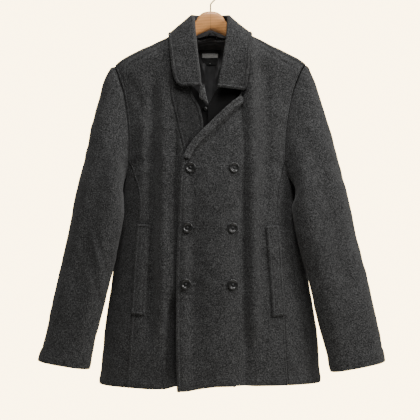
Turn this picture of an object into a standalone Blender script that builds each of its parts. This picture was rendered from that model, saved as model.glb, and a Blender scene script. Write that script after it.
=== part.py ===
"""Double-breasted pea coat, buttoned, hanging on a wooden hanger.

Metres, +Z up. The coat's front faces -Y, and the wearer's left is +X. The origin is the inside top of the
hanger's hook, where a rail carries it.

The coat's body is one form: at each height a flattened ring, which rounds over the shoulder line. Each
panel is a patch of that form between its seams, given a wall by moving its points along the form's normal.
Sleeves are sections that fan round the underarm and then run down to the cuff.
"""

import math

import bmesh
import bpy
import numpy as np
from mathutils import Vector
from mathutils.bvhtree import BVHTree

COLLECTION = "Pea coat"

# Walls and gaps
WOOL = 0.003
COLLAR_CLOTH = 0.004
LINING = 0.0012
GAP = 0.0003
LINING_GAP = 0.0016
FACET_GAP = 0.0006
STRIP_GAP = 0.0009

# Shoulder line and the rounding of the cloth over it
SHOULDER_TOP = -0.0745
SHOULDER_SLOPE = 0.49
SHOULDER_BEND_FROM = 0.195
SHOULDER_BEND = 10.0
CREST_RADIUS = 0.040
QUARTER = CREST_RADIUS * math.pi / 2
SHOULDER_SEAM_DROP = 0.008
RING_POWER = 2.4

RIGHT, LEFT = -1, 1
FRONT, BACK = -1, 1

FORM = np.array(
    [
        # height, right half width, left half width, front depth, back depth, side y
        (-0.930, 0.2553, 0.2515, 0.092, 0.064, -0.014),
        (-0.833, 0.2465, 0.2450, 0.088, 0.062, -0.014),
        (-0.753, 0.2370, 0.2365, 0.084, 0.060, -0.013),
        (-0.657, 0.2225, 0.2210, 0.080, 0.058, -0.012),
        (-0.560, 0.2095, 0.2020, 0.076, 0.056, -0.011),
        (-0.463, 0.2005, 0.1930, 0.072, 0.053, -0.010),
        (-0.380, 0.2050, 0.1905, 0.066, 0.050, -0.008),
        (-0.300, 0.2115, 0.1990, 0.059, 0.046, -0.005),
        (-0.250, 0.2175, 0.2080, 0.054, 0.043, -0.003),
        (-0.200, 0.2275, 0.2245, 0.048, 0.040, -0.001),
        (-0.100, 0.2360, 0.2340, 0.040, 0.036, 0.000),
    ]
)

FOLDS = {
    # centre x, half width, depth (a ridge is positive), top, bottom, drift of x from top to bottom
    (FRONT, RIGHT): (
        (-0.073, 0.010, 0.0030, -0.25, -0.42, 0.012),
        (-0.119, 0.016, -0.0060, -0.24, -0.74, -0.004),
        (-0.152, 0.013, 0.0040, -0.32, -0.53, -0.003),
        (-0.097, 0.014, 0.0045, -0.42, -0.80, -0.003),
        (-0.079, 0.017, -0.0150, -0.72, -0.95, 0.004),
    ),
    (FRONT, LEFT): (
        (0.072, 0.009, 0.0045, -0.24, -0.44, 0.006),
        (0.086, 0.012, -0.0100, -0.18, -0.86, 0.004),
        (0.105, 0.013, 0.0075, -0.14, -0.68, 0.002),
        (0.135, 0.013, -0.0070, -0.19, -0.50, 0.000),
        (0.020, 0.026, 0.0040, -0.42, -0.90, -0.004),
    ),
    (BACK, RIGHT): (
        (-0.060, 0.016, -0.0050, -0.24, -0.70, -0.010),
        (-0.095, 0.015, 0.0055, -0.20, -0.86, -0.012),
        (-0.130, 0.014, -0.0050, -0.22, -0.56, 0.000),
    ),
    (BACK, LEFT): (
        (0.052, 0.018, -0.0045, -0.30, -0.84, 0.008),
        (0.090, 0.014, 0.0050, -0.20, -0.60, 0.010),
        (0.122, 0.013, -0.0055, -0.18, -0.50, 0.004),
    ),
}

ARMHOLE_TOP = {RIGHT: 0.2205, LEFT: 0.2185}
UNDERARM_HEIGHT = -0.463
ARMHOLE = np.array(
    [
        # share of the armhole's height, then the distance from the middle of its front line: right, left,
        # and of its back line: right, left
        (0.00, 0.2005, 0.1930, 0.2005, 0.1930),
        (0.06, 0.1925, 0.1775, 0.1930, 0.1800),
        (0.15, 0.1875, 0.1703, 0.1890, 0.1745),
        (0.30, 0.1851, 0.1690, 0.1870, 0.1740),
        (0.45, 0.1863, 0.1722, 0.1880, 0.1770),
        (0.60, 0.1908, 0.1788, 0.1920, 0.1830),
        (0.78, 0.1996, 0.1905, 0.2005, 0.1940),
        (0.86, 0.2070, 0.1990, 0.2075, 0.2015),
        (0.96, 0.2167, 0.2115, 0.2170, 0.2125),
        (1.00, 0.2205, 0.2185, 0.2205, 0.2185),
    ]
)
# Angles round the armhole, 0 at the underarm and pi at the shoulder, where the seams meet it
SIDE_SEAM_ANGLE = 0.90
SHOULDER_SEAM_ANGLE = 2.80
BACK_SEAM_ANGLE = 2 * math.pi - 0.95
SLEEVE_FRONT_SEAM = -0.25
SLEEVE_BACK_SEAM = 3.90
SLEEVE_HEAD = 0.22
ARMHOLE_GAP = 0.0014
UNDERARM_DROP = 0.0012
MITRE_SHARE = 0.10
# A small step along a sleeve or round it, to measure lengths with
SMALL = 0.01
SEAM_PATH = CREST_RADIUS * math.acos(1 - SHOULDER_SEAM_DROP / CREST_RADIUS)

# Levels up the panels (0 at the hem, 1 at the foot of the armhole, 2 at the shoulder seam), and the angles
# round the armhole that the body's panels and the sleeve's pieces share
SEAM_LEVELS = np.linspace(0, 1, 11)
ARM_LEVELS = np.array([1.125, 1.25, 1.375, 1.5, 1.625, 1.75, 1.84, 1.91, 1.96, 2.0])
LEVELS = np.concatenate([SEAM_LEVELS, ARM_LEVELS])
UNDERARM_ANGLES = np.concatenate([np.linspace(0.90, -0.25, 5), np.linspace(-0.25, -0.95, 3)[1:]])
FRONT_ANGLES = SIDE_SEAM_ANGLE + (SHOULDER_SEAM_ANGLE - SIDE_SEAM_ANGLE) * np.append(0, ARM_LEVELS - 1)
BACK_ANGLES = np.concatenate(
    [
        np.linspace(BACK_SEAM_ANGLE, SLEEVE_BACK_SEAM, 6),
        np.linspace(SLEEVE_BACK_SEAM, SHOULDER_SEAM_ANGLE, 5)[1:],
    ]
)
LEVELS_BACK = np.concatenate([SEAM_LEVELS, np.linspace(1, 2, len(BACK_ANGLES))[1:]])
CENTRE_ROWS = 15
UPPER_ANGLES = np.concatenate([UNDERARM_ANGLES[4::-1], FRONT_ANGLES[1:], BACK_ANGLES[:4:-1][1:]])
UNDER_ANGLES = np.concatenate([BACK_ANGLES[5::-1], UNDERARM_ANGLES[:3:-1][1:] + 2 * math.pi])

SIDE_SEAMS = np.array(
    [
        # height, distance from the middle of the front seam: right, left, of the back seam: right, left
        (-0.930, 0.1878, 0.1742, 0.1880, 0.1800),
        (-0.845, 0.1826, 0.1690, 0.1840, 0.1760),
        (-0.755, 0.1758, 0.1653, 0.1790, 0.1720),
        (-0.655, 0.1703, 0.1590, 0.1730, 0.1650),
        (-0.555, 0.1632, 0.1512, 0.1680, 0.1590),
        (-0.510, 0.1600, 0.1495, 0.1665, 0.1575),
        (-0.475, 0.1625, 0.1535, 0.1685, 0.1590),
        (-0.440, 0.1735, 0.1615, 0.1760, 0.1650),
    ]
)

HEM = {
    # x, height
    (FRONT, RIGHT): (
        (-0.260, -0.9108),
        (-0.210, -0.9150),
        (-0.140, -0.9174),
        (-0.100, -0.9165),
        (-0.070, -0.9117),
        (0.060, -0.9100),
    ),
    (FRONT, LEFT): (
        (-0.072, -0.9205),
        (-0.050, -0.9195),
        (-0.020, -0.9139),
        (0.030, -0.9072),
        (0.090, -0.9091),
        (0.260, -0.9108),
    ),
    (BACK, RIGHT): ((-0.26, -0.9108), (-0.12, -0.9130), (0.0, -0.9120)),
    (BACK, LEFT): ((0.0, -0.9120), (0.12, -0.9135), (0.26, -0.9108)),
}

# Lines up the fronts: level (0 at the hem, 1 at the foot of the armhole, 2 at the shoulder seam), x, height
OVER_EDGE = np.array(
    [
        (0.000, -0.0711, -0.9205),
        (0.250, -0.0740, -0.8000),
        (0.500, -0.0742, -0.6700),
        (0.750, -0.0705, -0.5500),
        (0.900, -0.0680, -0.4750),
        (1.000, -0.0655, -0.4320),
        (1.125, -0.0560, -0.3950),
        (1.250, -0.0380, -0.3650),
        (1.375, -0.0035, -0.3295),
        (1.500, 0.0315, -0.2950),
        (1.625, 0.0665, -0.2590),
        (1.750, 0.0710, -0.2200),
        (1.875, 0.0650, -0.1650),
        (2.000, 0.0615, -0.1126),
    ]
)
V_SEAM = np.array(
    [
        (0.000, -0.0500, -0.9115),
        (0.500, -0.0500, -0.6700),
        (0.900, -0.0510, -0.4750),
        (1.000, -0.0545, -0.4200),
        (1.125, -0.0600, -0.3890),
        (1.250, -0.0672, -0.3570),
        (1.375, -0.0755, -0.3240),
        (1.500, -0.0835, -0.2890),
        (1.625, -0.0905, -0.2585),
        (1.750, -0.0925, -0.2200),
        (1.875, -0.0870, -0.1700),
        (2.000, -0.0760, -0.1197),
    ]
)
UNDER_EDGE = np.array(
    [
        (0.000, 0.0550, -0.9100),
        (0.500, 0.0550, -0.6700),
        (0.900, 0.0530, -0.4800),
        (1.000, 0.0350, -0.4250),
        (1.125, 0.0070, -0.3850),
        (1.250, -0.0140, -0.3500),
        (1.375, -0.0190, -0.3180),
        (1.500, -0.0265, -0.2880),
        (1.625, -0.0425, -0.2580),
        (1.750, -0.0480, -0.2200),
        (1.875, -0.0540, -0.1700),
        (2.000, -0.0625, -0.1131),
    ]
)
NECK_POINT = {RIGHT: 0.0625, LEFT: 0.0615}
BACK_NECK_DROP = 0.0435
OVERLAP_LIFT = 0.0052

SLEEVE = {
    # share of length, outer x, outer z, inner x, inner z, inner y, outer y, front depth, back depth, bow in
    RIGHT: np.array(
        [
            (0.00, 0.2205, -0.1889, 0.2005, -0.463, -0.010, 0.000, 0.040, 0.038, 0.012),
            (0.05, 0.2404, -0.2236, 0.2050, -0.473, -0.019, -0.002, 0.044, 0.040, 0.011),
            (0.12, 0.2557, -0.2693, 0.2055, -0.484, -0.032, -0.005, 0.046, 0.043, 0.009),
            (0.19, 0.2683, -0.3149, 0.2025, -0.496, -0.044, -0.009, 0.046, 0.046, 0.006),
            (0.26, 0.2797, -0.3606, 0.1975, -0.510, -0.053, -0.013, 0.045, 0.047, 0.003),
            (0.33, 0.2899, -0.4063, 0.1945, -0.527, -0.059, -0.017, 0.044, 0.047, 0.001),
            (0.41, 0.3002, -0.4519, 0.1965, -0.550, -0.063, -0.021, 0.043, 0.046, 0.000),
            (0.55, 0.3187, -0.5432, 0.2070, -0.598, -0.066, -0.027, 0.041, 0.044, 0.000),
            (0.69, 0.3372, -0.6345, 0.2215, -0.668, -0.067, -0.033, 0.040, 0.042, 0.000),
            (0.83, 0.3568, -0.7259, 0.2425, -0.748, -0.068, -0.038, 0.039, 0.040, 0.000),
            (0.95, 0.3783, -0.8172, 0.2630, -0.835, -0.069, -0.043, 0.038, 0.038, 0.000),
            (1.00, 0.3893, -0.8583, 0.2722, -0.8744, -0.070, -0.045, 0.038, 0.037, 0.000),
        ]
    ),
    LEFT: np.array(
        [
            (0.00, 0.2185, -0.1871, 0.1930, -0.463, -0.010, 0.000, 0.040, 0.038, 0.012),
            (0.05, 0.2363, -0.2236, 0.1975, -0.473, -0.019, -0.002, 0.044, 0.040, 0.013),
            (0.12, 0.2532, -0.2693, 0.1980, -0.484, -0.032, -0.005, 0.046, 0.043, 0.011),
            (0.19, 0.2676, -0.3149, 0.1935, -0.496, -0.044, -0.009, 0.046, 0.046, 0.008),
            (0.26, 0.2806, -0.3606, 0.1865, -0.510, -0.053, -0.013, 0.045, 0.047, 0.004),
            (0.33, 0.2927, -0.4063, 0.1845, -0.527, -0.059, -0.017, 0.044, 0.047, 0.002),
            (0.41, 0.3043, -0.4519, 0.1880, -0.552, -0.063, -0.021, 0.043, 0.046, 0.000),
            (0.55, 0.3253, -0.5432, 0.1995, -0.602, -0.066, -0.027, 0.041, 0.044, 0.000),
            (0.69, 0.3456, -0.6345, 0.2155, -0.670, -0.067, -0.033, 0.040, 0.042, 0.000),
            (0.83, 0.3660, -0.7259, 0.2350, -0.750, -0.068, -0.038, 0.039, 0.040, 0.000),
            (0.95, 0.3858, -0.8172, 0.2580, -0.838, -0.069, -0.043, 0.038, 0.038, 0.000),
            (1.00, 0.3947, -0.8596, 0.2699, -0.8811, -0.070, -0.045, 0.038, 0.037, 0.000),
        ]
    ),
}
SLEEVE_FOLDS = (
    # angle round the sleeve, half width as an angle, depth, share of length where it starts and ends
    (1.05, 0.28, 0.0040, 0.10, 0.95),
    (1.75, 0.26, -0.0045, 0.05, 0.80),
    (2.40, 0.30, 0.0035, 0.25, 1.05),
    (4.10, 0.30, -0.0040, 0.10, 0.70),
    (4.90, 0.30, 0.0035, 0.20, 0.95),
)

# The collar's hollow side, between its stand and its fall, section by section from the back's middle to the
# front end: neck seam (x, height), roll (x, y, height), free edge (x, height, lift off the coat)
COLLAR = {
    RIGHT: np.array(
        [
            (0.0000, -0.1180, 0.0000, 0.0470, -0.0680, 0.0000, -0.1600, 0.0020),
            (0.0327, -0.1243, 0.0230, 0.0435, -0.0690, 0.0400, -0.1580, 0.0020),
            (0.0520, -0.1158, 0.0335, 0.0340, -0.0712, 0.0720, -0.1475, 0.0020),
            (0.0602, -0.1080, 0.0395, 0.0200, -0.0742, 0.0875, -0.1345, 0.0020),
            (0.0625, -0.1051, 0.0415, 0.0030, -0.0775, 0.0935, -0.1205, 0.0020),
            (0.0610, -0.1200, 0.0400, -0.0300, -0.0900, 0.0930, -0.1280, 0.0040),
            (0.0555, -0.1550, 0.0370, -0.0480, -0.1270, 0.0905, -0.1560, 0.0060),
            (0.0500, -0.2000, 0.0300, -0.0600, -0.1850, 0.0850, -0.2020, 0.0065),
            (0.0475, -0.2250, 0.0225, -0.0680, -0.2430, 0.0755, -0.2420, 0.0060),
        ]
    ),
    LEFT: np.array(
        [
            (0.0000, -0.1180, 0.0000, 0.0470, -0.0680, 0.0000, -0.1600, 0.0020),
            (0.0321, -0.1240, 0.0230, 0.0435, -0.0690, 0.0400, -0.1580, 0.0020),
            (0.0511, -0.1154, 0.0335, 0.0340, -0.0712, 0.0720, -0.1475, 0.0020),
            (0.0592, -0.1075, 0.0395, 0.0200, -0.0742, 0.0865, -0.1335, 0.0020),
            (0.0615, -0.1046, 0.0415, 0.0030, -0.0775, 0.0915, -0.1195, 0.0020),
            (0.0625, -0.1200, 0.0400, -0.0300, -0.0900, 0.0915, -0.1280, 0.0040),
            (0.0645, -0.1550, 0.0370, -0.0480, -0.1270, 0.0885, -0.1580, 0.0060),
            (0.0690, -0.2000, 0.0280, -0.0620, -0.1850, 0.0850, -0.2050, 0.0070),
            (0.0710, -0.2250, 0.0165, -0.0700, -0.2460, 0.0780, -0.2500, 0.0075),
        ]
    ),
}
COLLAR_BACK_ROWS = 5
STAND_SHARE = 0.36
ROLL_SHARE = 0.10

LAPEL_CLOTH = 0.0026
TIP_CLOTH = 0.0022
WELT_CLOTH = 0.0025
WELT_INSET = 0.0012
WELT_SLOPE = 0.10
WELT_WIDTH = 0.0265
WELTS = {RIGHT: (-0.5530, -0.7510), LEFT: (-0.5560, -0.7540)}
# The turned-back strip of the left lapel: its levels up the over edge, and places across it
STRIP_LEVELS = (1.10, 1.60)
STRIP_WIDTHS = np.array([0.0006, 0.0045, 0.0085, 0.0118])
# The right lapel's tip, level by level: left x and height, right x and height, y
TIP = (
    (-0.0250, -0.2440, -0.0165, -0.2440, -0.0690),
    (-0.0255, -0.2600, -0.0105, -0.2600, -0.0690),
    (-0.0235, -0.2735, -0.0060, -0.2780, -0.0670),
    (-0.0150, -0.2780, -0.0045, -0.2850, -0.0660),
)
# The dark inner layer's upper edge: x, height, and how far out from the coat's form it lies
INSERT = {
    RIGHT: (
        (-0.085, -0.232, -0.0044),
        (-0.065, -0.232, -0.0044),
        (-0.045, -0.236, -0.0080),
        (-0.030, -0.250, -0.0120),
        (-0.010, -0.280, -0.0120),
        (0.008, -0.290, -0.0120),
    ),
    LEFT: (
        (-0.0056, -0.284, -0.0085),
        (0.003, -0.267, -0.0085),
        (0.012, -0.250, -0.0085),
        (0.030, -0.238, -0.0080),
        (0.060, -0.235, -0.0055),
        (0.085, -0.235, -0.0050),
        (0.100, -0.235, -0.0074),
    ),
}
INSERT_FOOT = -0.405
BUTTONS = (
    # x, height
    (-0.0446, -0.4252),
    (-0.0510, -0.5594),
    (-0.0545, -0.6847),
    (0.0527, -0.4260),
    (0.0485, -0.5598),
    (0.0489, -0.6854),
)
SNAP_PLACE = (-0.0112, -0.2905)
SNAP_LIFT = -0.0114
SNAP_PROFILE = ((0, 0.0016), (0.0020, 0.0016), (0.0028, 0.0010), (0.0045, 0.0010), (0.0045, 0), (0, 0))
BUTTON_PROFILE = (
    (0, 0.0024),
    (0.0062, 0.0022),
    (0.0082, 0.0040),
    (0.0100, 0.0046),
    (0.0116, 0.0038),
    (0.0120, 0.0026),
    (0.0112, 0.0008),
    (0.0090, 0),
    (0, 0),
)

HOOK_WIRE = 0.0016
HOOK_INSIDE = 0.0175
HOOK_SOCKET = 0.012
HOOK_SEAT = 0.0012
HOOK_CLEARANCE = 0.0005
HOOK_NECK = -0.050
HOOK_BEND = 0.9
# Where the crook's arc starts and ends, in degrees from +X
HOOK_ARC = (-48, 205)
HANGER_TOP = -0.0665
HANGER_HALF_SPAN = 0.196
HANGER_GAP = 0.0008
HANGER_END_DROP = 0.0022
HANGER_NOTCH = -0.1068
HANGER_NOTCH_SLOPE = 0.485
HANGER_CROWN = np.array(
    [
        # x, height of the top edge
        (0.000, -0.0665),
        (0.010, -0.0675),
        (0.020, -0.0708),
        (0.028, -0.0765),
        (0.034, -0.0850),
        (0.040, -0.0935),
        (0.050, -0.1025),
        (0.062, -0.1100),
        (0.075, -0.1160),
        (0.085, -0.1203),
    ]
)
LOOP_MIDDLE = 0.0035
LOOP_HALF_WIDTH = 0.0115
LOOP_FOOT = -0.1235
LOOP_HEIGHT = 0.0150
LOOP_WIRE = 0.0013


def smooth(at, stations, values):
    """Reads a table's column at any place, as a cubic through its rows."""
    at = np.asarray(at, float)
    slopes = np.gradient(values, stations)
    row = np.clip(np.searchsorted(stations, at) - 1, 0, len(stations) - 2)
    step = stations[row + 1] - stations[row]
    t = np.clip((at - stations[row]) / step, 0, 1)
    rise = values[row + 1] - values[row]
    start, end = slopes[row] * step, slopes[row + 1] * step
    return values[row] + t * (start + t * (3 * rise - 2 * start - end + t * (start + end - 2 * rise)))


def ease(low, high, at):
    """0 below low, 1 above high, and smooth between."""
    t = np.clip((at - low) / (high - low), 0, 1)
    return t * t * (3 - 2 * t)


def shoulder(x):
    """Height of the shoulder line: straight, and bending down towards the sleeve."""
    out = np.abs(x)
    return SHOULDER_TOP - SHOULDER_SLOPE * out - SHOULDER_BEND * np.maximum(out - SHOULDER_BEND_FROM, 0) ** 2


def path_to(x, z):
    """Length down the cloth from the shoulder line to a height."""
    drop = np.maximum(shoulder(x) - z, 0)
    return np.where(
        drop < CREST_RADIUS,
        CREST_RADIUS * np.arccos(1 - np.clip(drop / CREST_RADIUS, 0, 1)),
        drop - CREST_RADIUS + QUARTER,
    )


def half_width(z, side):
    right = smooth(z, FORM[:, 0], FORM[:, 1])
    left = smooth(z, FORM[:, 0], FORM[:, 2])
    return np.where(np.asarray(side) < 0, right, left)


def fold_depth(x, z, facing, side):
    total = np.zeros(np.broadcast(x, z).shape)
    for centre, width, depth, top, bottom, drift in FOLDS[facing, side]:
        middle = centre + drift * np.clip((top - z) / (top - bottom), 0, 1)
        length = ease(bottom - 0.04, bottom + 0.04, z) * (1 - ease(top - 0.05, top + 0.03, z))
        total = total + depth * length * np.exp(-(((x - middle) / width) ** 2))
    return total


def form_point(x, z, path, facing, side):
    """The form's point: depth times the ring's roundness and the rounding over the shoulder, and the folds."""
    ratio = np.clip(np.abs(x) / half_width(z, np.sign(x)), 0, 1)
    round_ring = np.sqrt(1 - ratio**RING_POWER)
    turn = np.sin(np.clip(path / CREST_RADIUS, -math.pi / 2, math.pi / 2))
    front = smooth(z, FORM[:, 0], FORM[:, 3])
    back = smooth(z, FORM[:, 0], FORM[:, 4])
    depth = np.where(facing * turn < 0, front, back)
    crease = fold_depth(x, z, facing, side) * np.maximum(turn, 0)
    y = smooth(z, FORM[:, 0], FORM[:, 5]) + facing * (depth * turn + crease) * round_ring
    return np.stack([x + 0 * y, y, z + 0 * y], axis=-1)


def sheet(x, path, facing, side):
    """Front or back of the form, from x and the length down the cloth, which is negative over the shoulder."""
    length = np.abs(path)
    drop = np.where(
        length < QUARTER,
        CREST_RADIUS * (1 - np.cos(length / CREST_RADIUS)),
        length - QUARTER + CREST_RADIUS,
    )
    return form_point(x, shoulder(x) - drop, path, facing, side)


def ring(turn, z, side):
    """Side of the form: turn is the angle round it from the front's middle, in radians."""
    x = side * half_width(z, side) * np.abs(np.sin(turn)) ** (2 / RING_POWER)
    facing = np.where(np.cos(turn) > 0, FRONT, BACK)
    front = form_point(x, z, path_to(x, z), FRONT, side)
    back = form_point(x, z, path_to(x, z), BACK, side)
    return np.where((facing == FRONT)[..., None], front, back)


def normals(surface, a, b, outward):
    """Unit normals of a surface, from small steps in its two parameters."""
    step = 1e-4
    along_a = surface(a + step, b) - surface(a - step, b)
    along_b = surface(a, b + step) - surface(a, b - step)
    normal = np.cross(along_a, along_b)
    normal /= np.linalg.norm(normal, axis=-1, keepdims=True)
    return normal * np.where((normal * outward).sum(-1) < 0, -1, 1)[..., None]


def way_out(path, facing):
    """Roughly the way out of the front or back: level down the coat, and turning over the shoulder."""
    turn = np.clip(np.asarray(path, float) / CREST_RADIUS, -math.pi / 2, math.pi / 2)
    return np.stack([0 * turn, facing * np.sin(turn), 0.2 + np.cos(turn)], axis=-1)


def lifted(x, path, facing, side, lift):
    """Points of the front or back, moved out along the normal."""
    x, path, lift = np.broadcast_arrays(*(np.asarray(value, float) for value in (x, path, lift)))
    outward = way_out(path, facing)
    normal = normals(lambda a, b: sheet(a, b, facing, side), x, path, outward)
    return sheet(x, path, facing, side) + normal * lift[..., None]


def coons(first, last, bottom, top):
    """A patch between four border lines, as rows from bottom to top and columns from first to last."""
    t = np.linspace(0, 1, len(first))[:, None, None]
    s = np.linspace(0, 1, len(bottom))[None, :, None]
    across = (1 - s) * first[:, None] + s * last[:, None]
    upward = (1 - t) * bottom[None] + t * top[None]
    corners = (1 - s) * ((1 - t) * first[0] + t * first[-1]) + s * ((1 - t) * last[0] + t * last[-1])
    return across + upward - corners


def armhole(angle, side):
    """A point of the armhole's loop, from the underarm up the front and down the back, and its place."""
    share = (1 - np.cos(angle)) / 2
    in_front = np.sin(angle) >= 0
    columns = (1 + (side > 0), 3 + (side > 0))
    front_line, back_line = (smooth(share, ARMHOLE[:, 0], ARMHOLE[:, column]) for column in columns)
    out = np.where(in_front, front_line, back_line)
    top = shoulder(ARMHOLE_TOP[side])
    z = UNDERARM_HEIGHT + (top - UNDERARM_HEIGHT) * share
    x = side * out
    path = path_to(x, z)
    front = form_point(x, z, path, FRONT, side)
    back = form_point(x, z, path, BACK, side)
    return np.where(in_front[..., None], front, back), x, path, in_front


def sleeve_tube(angle, share, side):
    """The plain sleeve: at each share of its length, a flattened ring from its inner to its outer point."""
    table = SLEEVE[side]
    column = [smooth(share, table[:, 0], table[:, number]) for number in range(1, 10)]
    outer_x, outer_z, inner_x, inner_z, inner_y, outer_y, front, back, bow = column
    across = (1 - np.cos(angle)) / 2
    wave = np.sin(angle)
    crease = np.zeros(np.broadcast(angle, share).shape)
    for centre, width, depth, start, end in SLEEVE_FOLDS:
        length = ease(start - 0.08, start + 0.08, share) * (1 - ease(end - 0.08, end + 0.08, share))
        away = (angle - centre + math.pi) % (2 * math.pi) - math.pi
        crease = crease + depth * length * np.exp(-((away / width) ** 2))
    depth = np.where(wave > 0, front, back) + crease
    x = inner_x + (outer_x - inner_x) * across - bow * wave**2
    z = inner_z + (outer_z - inner_z) * across
    y = inner_y + (outer_y - inner_y) * across - depth * np.sign(wave) * np.abs(wave) ** 0.85
    return np.stack([side * x, y, z], axis=-1)


def sleeve(angle, share, side):
    """The sleeve's tube, drawn to the armhole over its head."""
    angle, share = np.broadcast_arrays(np.asarray(angle, float), np.asarray(share, float))
    pull = (np.clip(1 - share / SLEEVE_HEAD, 0, 1) ** 2)[..., None]
    seam = armhole(angle, side)[0]
    return sleeve_tube(angle, share, side) + (seam - sleeve_tube(angle, 0 * share, side)) * pull


def sleeve_normals(angle, share, side):
    angle, share = np.broadcast_arrays(np.asarray(angle, float), np.asarray(share, float))
    inside = (sleeve(0 * angle, share, side) + sleeve(0 * angle + math.pi, share, side)) / 2
    return normals(lambda a, b: sleeve(a, b, side), angle, share, sleeve(angle, share, side) - inside)


def armhole_normals(angle, side):
    """The direction between the body's and the sleeve's normals, in which both walls end at the armhole."""
    point, x, path, in_front = armhole(angle, side)
    inward = side * -0.0008
    facing = np.where(in_front, FRONT, BACK)
    near = np.abs(x) < 0.985 * half_width(point[..., 2], side)
    body = np.zeros(point.shape)
    for each in (FRONT, BACK):
        outward = np.stack([side * 0.3 + 0 * x, each + 0 * x, 0.4 + 0 * x], axis=-1)
        found = normals(lambda a, b: sheet(a, b, each, side), x + inward, np.maximum(path, 0.002), outward)
        body = np.where((facing == each)[..., None], found, body)
    body = np.where(near[..., None], body, np.array([side, 0.0, 0.0]))
    both = body + sleeve_normals(angle, 0.01, side)
    return both / np.linalg.norm(both, axis=-1, keepdims=True)


def hem_height(x, facing, side):
    line = np.array(HEM[facing, side])
    return np.interp(x, line[:, 0], line[:, 1])


def line_up(table, level, gap=0.0):
    """A border line up a front, at the given levels, as (x, length down the cloth)."""
    x = smooth(level, table[:, 0], table[:, 1]) + gap
    return np.stack([x, path_to(x, smooth(level, table[:, 0], table[:, 2]))], axis=-1)


def seam_heights(levels, facing, side):
    """Side seam's x and height at levels from 0, the hem, to 1, the armhole."""
    angle = SIDE_SEAM_ANGLE if facing == FRONT else BACK_SEAM_ANGLE
    foot = armhole(np.array([angle]), side)[0][0]
    column = (1 if facing == FRONT else 3) + (side > 0)
    heights = np.append(SIDE_SEAMS[:, 0], foot[2])
    places = np.append(SIDE_SEAMS[:, column], abs(foot[0]))
    hem = hem_height(side * places[0], facing, side)
    z = hem + (foot[2] - hem) * levels
    return side * smooth(z, heights, places), z


def side_line(facing, side, gap):
    """A front's or back's outer border: up the side seam, then round the armhole to the shoulder seam."""
    x, z = seam_heights(SEAM_LEVELS, facing, side)
    seam = np.stack([x - side * gap, path_to(x, z)], axis=-1)
    angles = FRONT_ANGLES[1:] if facing == FRONT else BACK_ANGLES[1:]
    point, x, path, in_front = armhole(angles, side)
    sign = np.where(in_front == (facing == FRONT), 1, -1)
    return np.concatenate([seam, np.stack([x, sign * path], axis=-1)]), angles


def over_lift(x, z):
    """How far the over front stands out: over the under front, and more at the hem's corner."""
    corner = 0.009 * (1 - ease(-0.90, -0.70, z)) * np.exp(-(((x + 0.071) / 0.040) ** 2))
    return OVERLAP_LIFT * (1 - ease(0.060, 0.130, x)) + corner


def material(name, colour, roughness, metallic=0.0):
    made = bpy.data.materials.new(name)
    made.use_nodes = True
    shader = made.node_tree.nodes["Principled BSDF"]
    shader.inputs["Base Color"].default_value = (*colour, 1)
    shader.inputs["Roughness"].default_value = roughness
    shader.inputs["Metallic"].default_value = metallic
    return made


def add(name, mesh, finish, smooth_shading=True):
    piece = bpy.data.objects.new(name, mesh)
    bpy.data.collections[COLLECTION].objects.link(piece)
    mesh.materials.append(finish)
    if smooth_shading:
        mesh.shade_smooth()
        mesh.set_sharp_from_angle(angle=math.radians(40))
    return piece


def halves(quads):
    return np.concatenate([quads[:, [0, 1, 2]], quads[:, [0, 2, 3]]])


def grid_faces(rows, columns):
    number = np.arange(rows * columns).reshape(rows, columns)
    quads = np.stack([number[:-1, :-1], number[:-1, 1:], number[1:, 1:], number[1:, :-1]], axis=-1)
    return number, halves(quads.reshape(-1, 4))


def wall(name, outer, inner, finish):
    """A loft between an outer and an inner grid of points, closed round its rim."""
    rows, columns = outer.shape[:2]
    points = np.concatenate([outer.reshape(-1, 3), inner.reshape(-1, 3)])
    number, cells = grid_faces(rows, columns)
    below = rows * columns
    rim = []
    for line, back in ((number[0], 0), (number[:, -1], 0), (number[-1], 1), (number[:, 0], 1)):
        first, after = line[:-1], line[1:]
        quad = np.stack([first, first + below, after + below, after], axis=-1)
        # Each splits from its first outer point to its next inner one, as its neighbour's does
        rim.append(quad[:, [0, 3, 2, 1]] if back else quad)
    faces = np.concatenate([cells, cells[:, ::-1] + below, halves(np.concatenate(rim))])
    mesh = bpy.data.meshes.new(name)
    mesh.from_pydata(points.tolist(), [], faces.tolist())
    shape = bmesh.new()
    shape.from_mesh(mesh)
    bmesh.ops.recalc_face_normals(shape, faces=shape.faces)
    if shape.calc_volume(signed=True) < 0:
        bmesh.ops.reverse_faces(shape, faces=shape.faces)
    shape.to_mesh(mesh)
    shape.free()
    return add(name, mesh, finish)


def panel(name, grid, facing, side, finish, lift=None, edge_normals=None):
    """A wall on the front or back, from a grid of (x, length down the cloth)."""
    x, path = grid[..., 0], grid[..., 1]
    outward = way_out(path, facing)
    points = sheet(x, path, facing, side)
    normal = normals(lambda a, b: sheet(a, b, facing, side), x, path, outward)
    if edge_normals is not None:
        normal[-len(edge_normals) :, 0] = edge_normals
    out = np.zeros(x.shape) if lift is None else lift(x, points[..., 2])
    outer = points + normal * out[..., None]
    return wall(name, outer, outer - normal * WOOL, finish), outer


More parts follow.
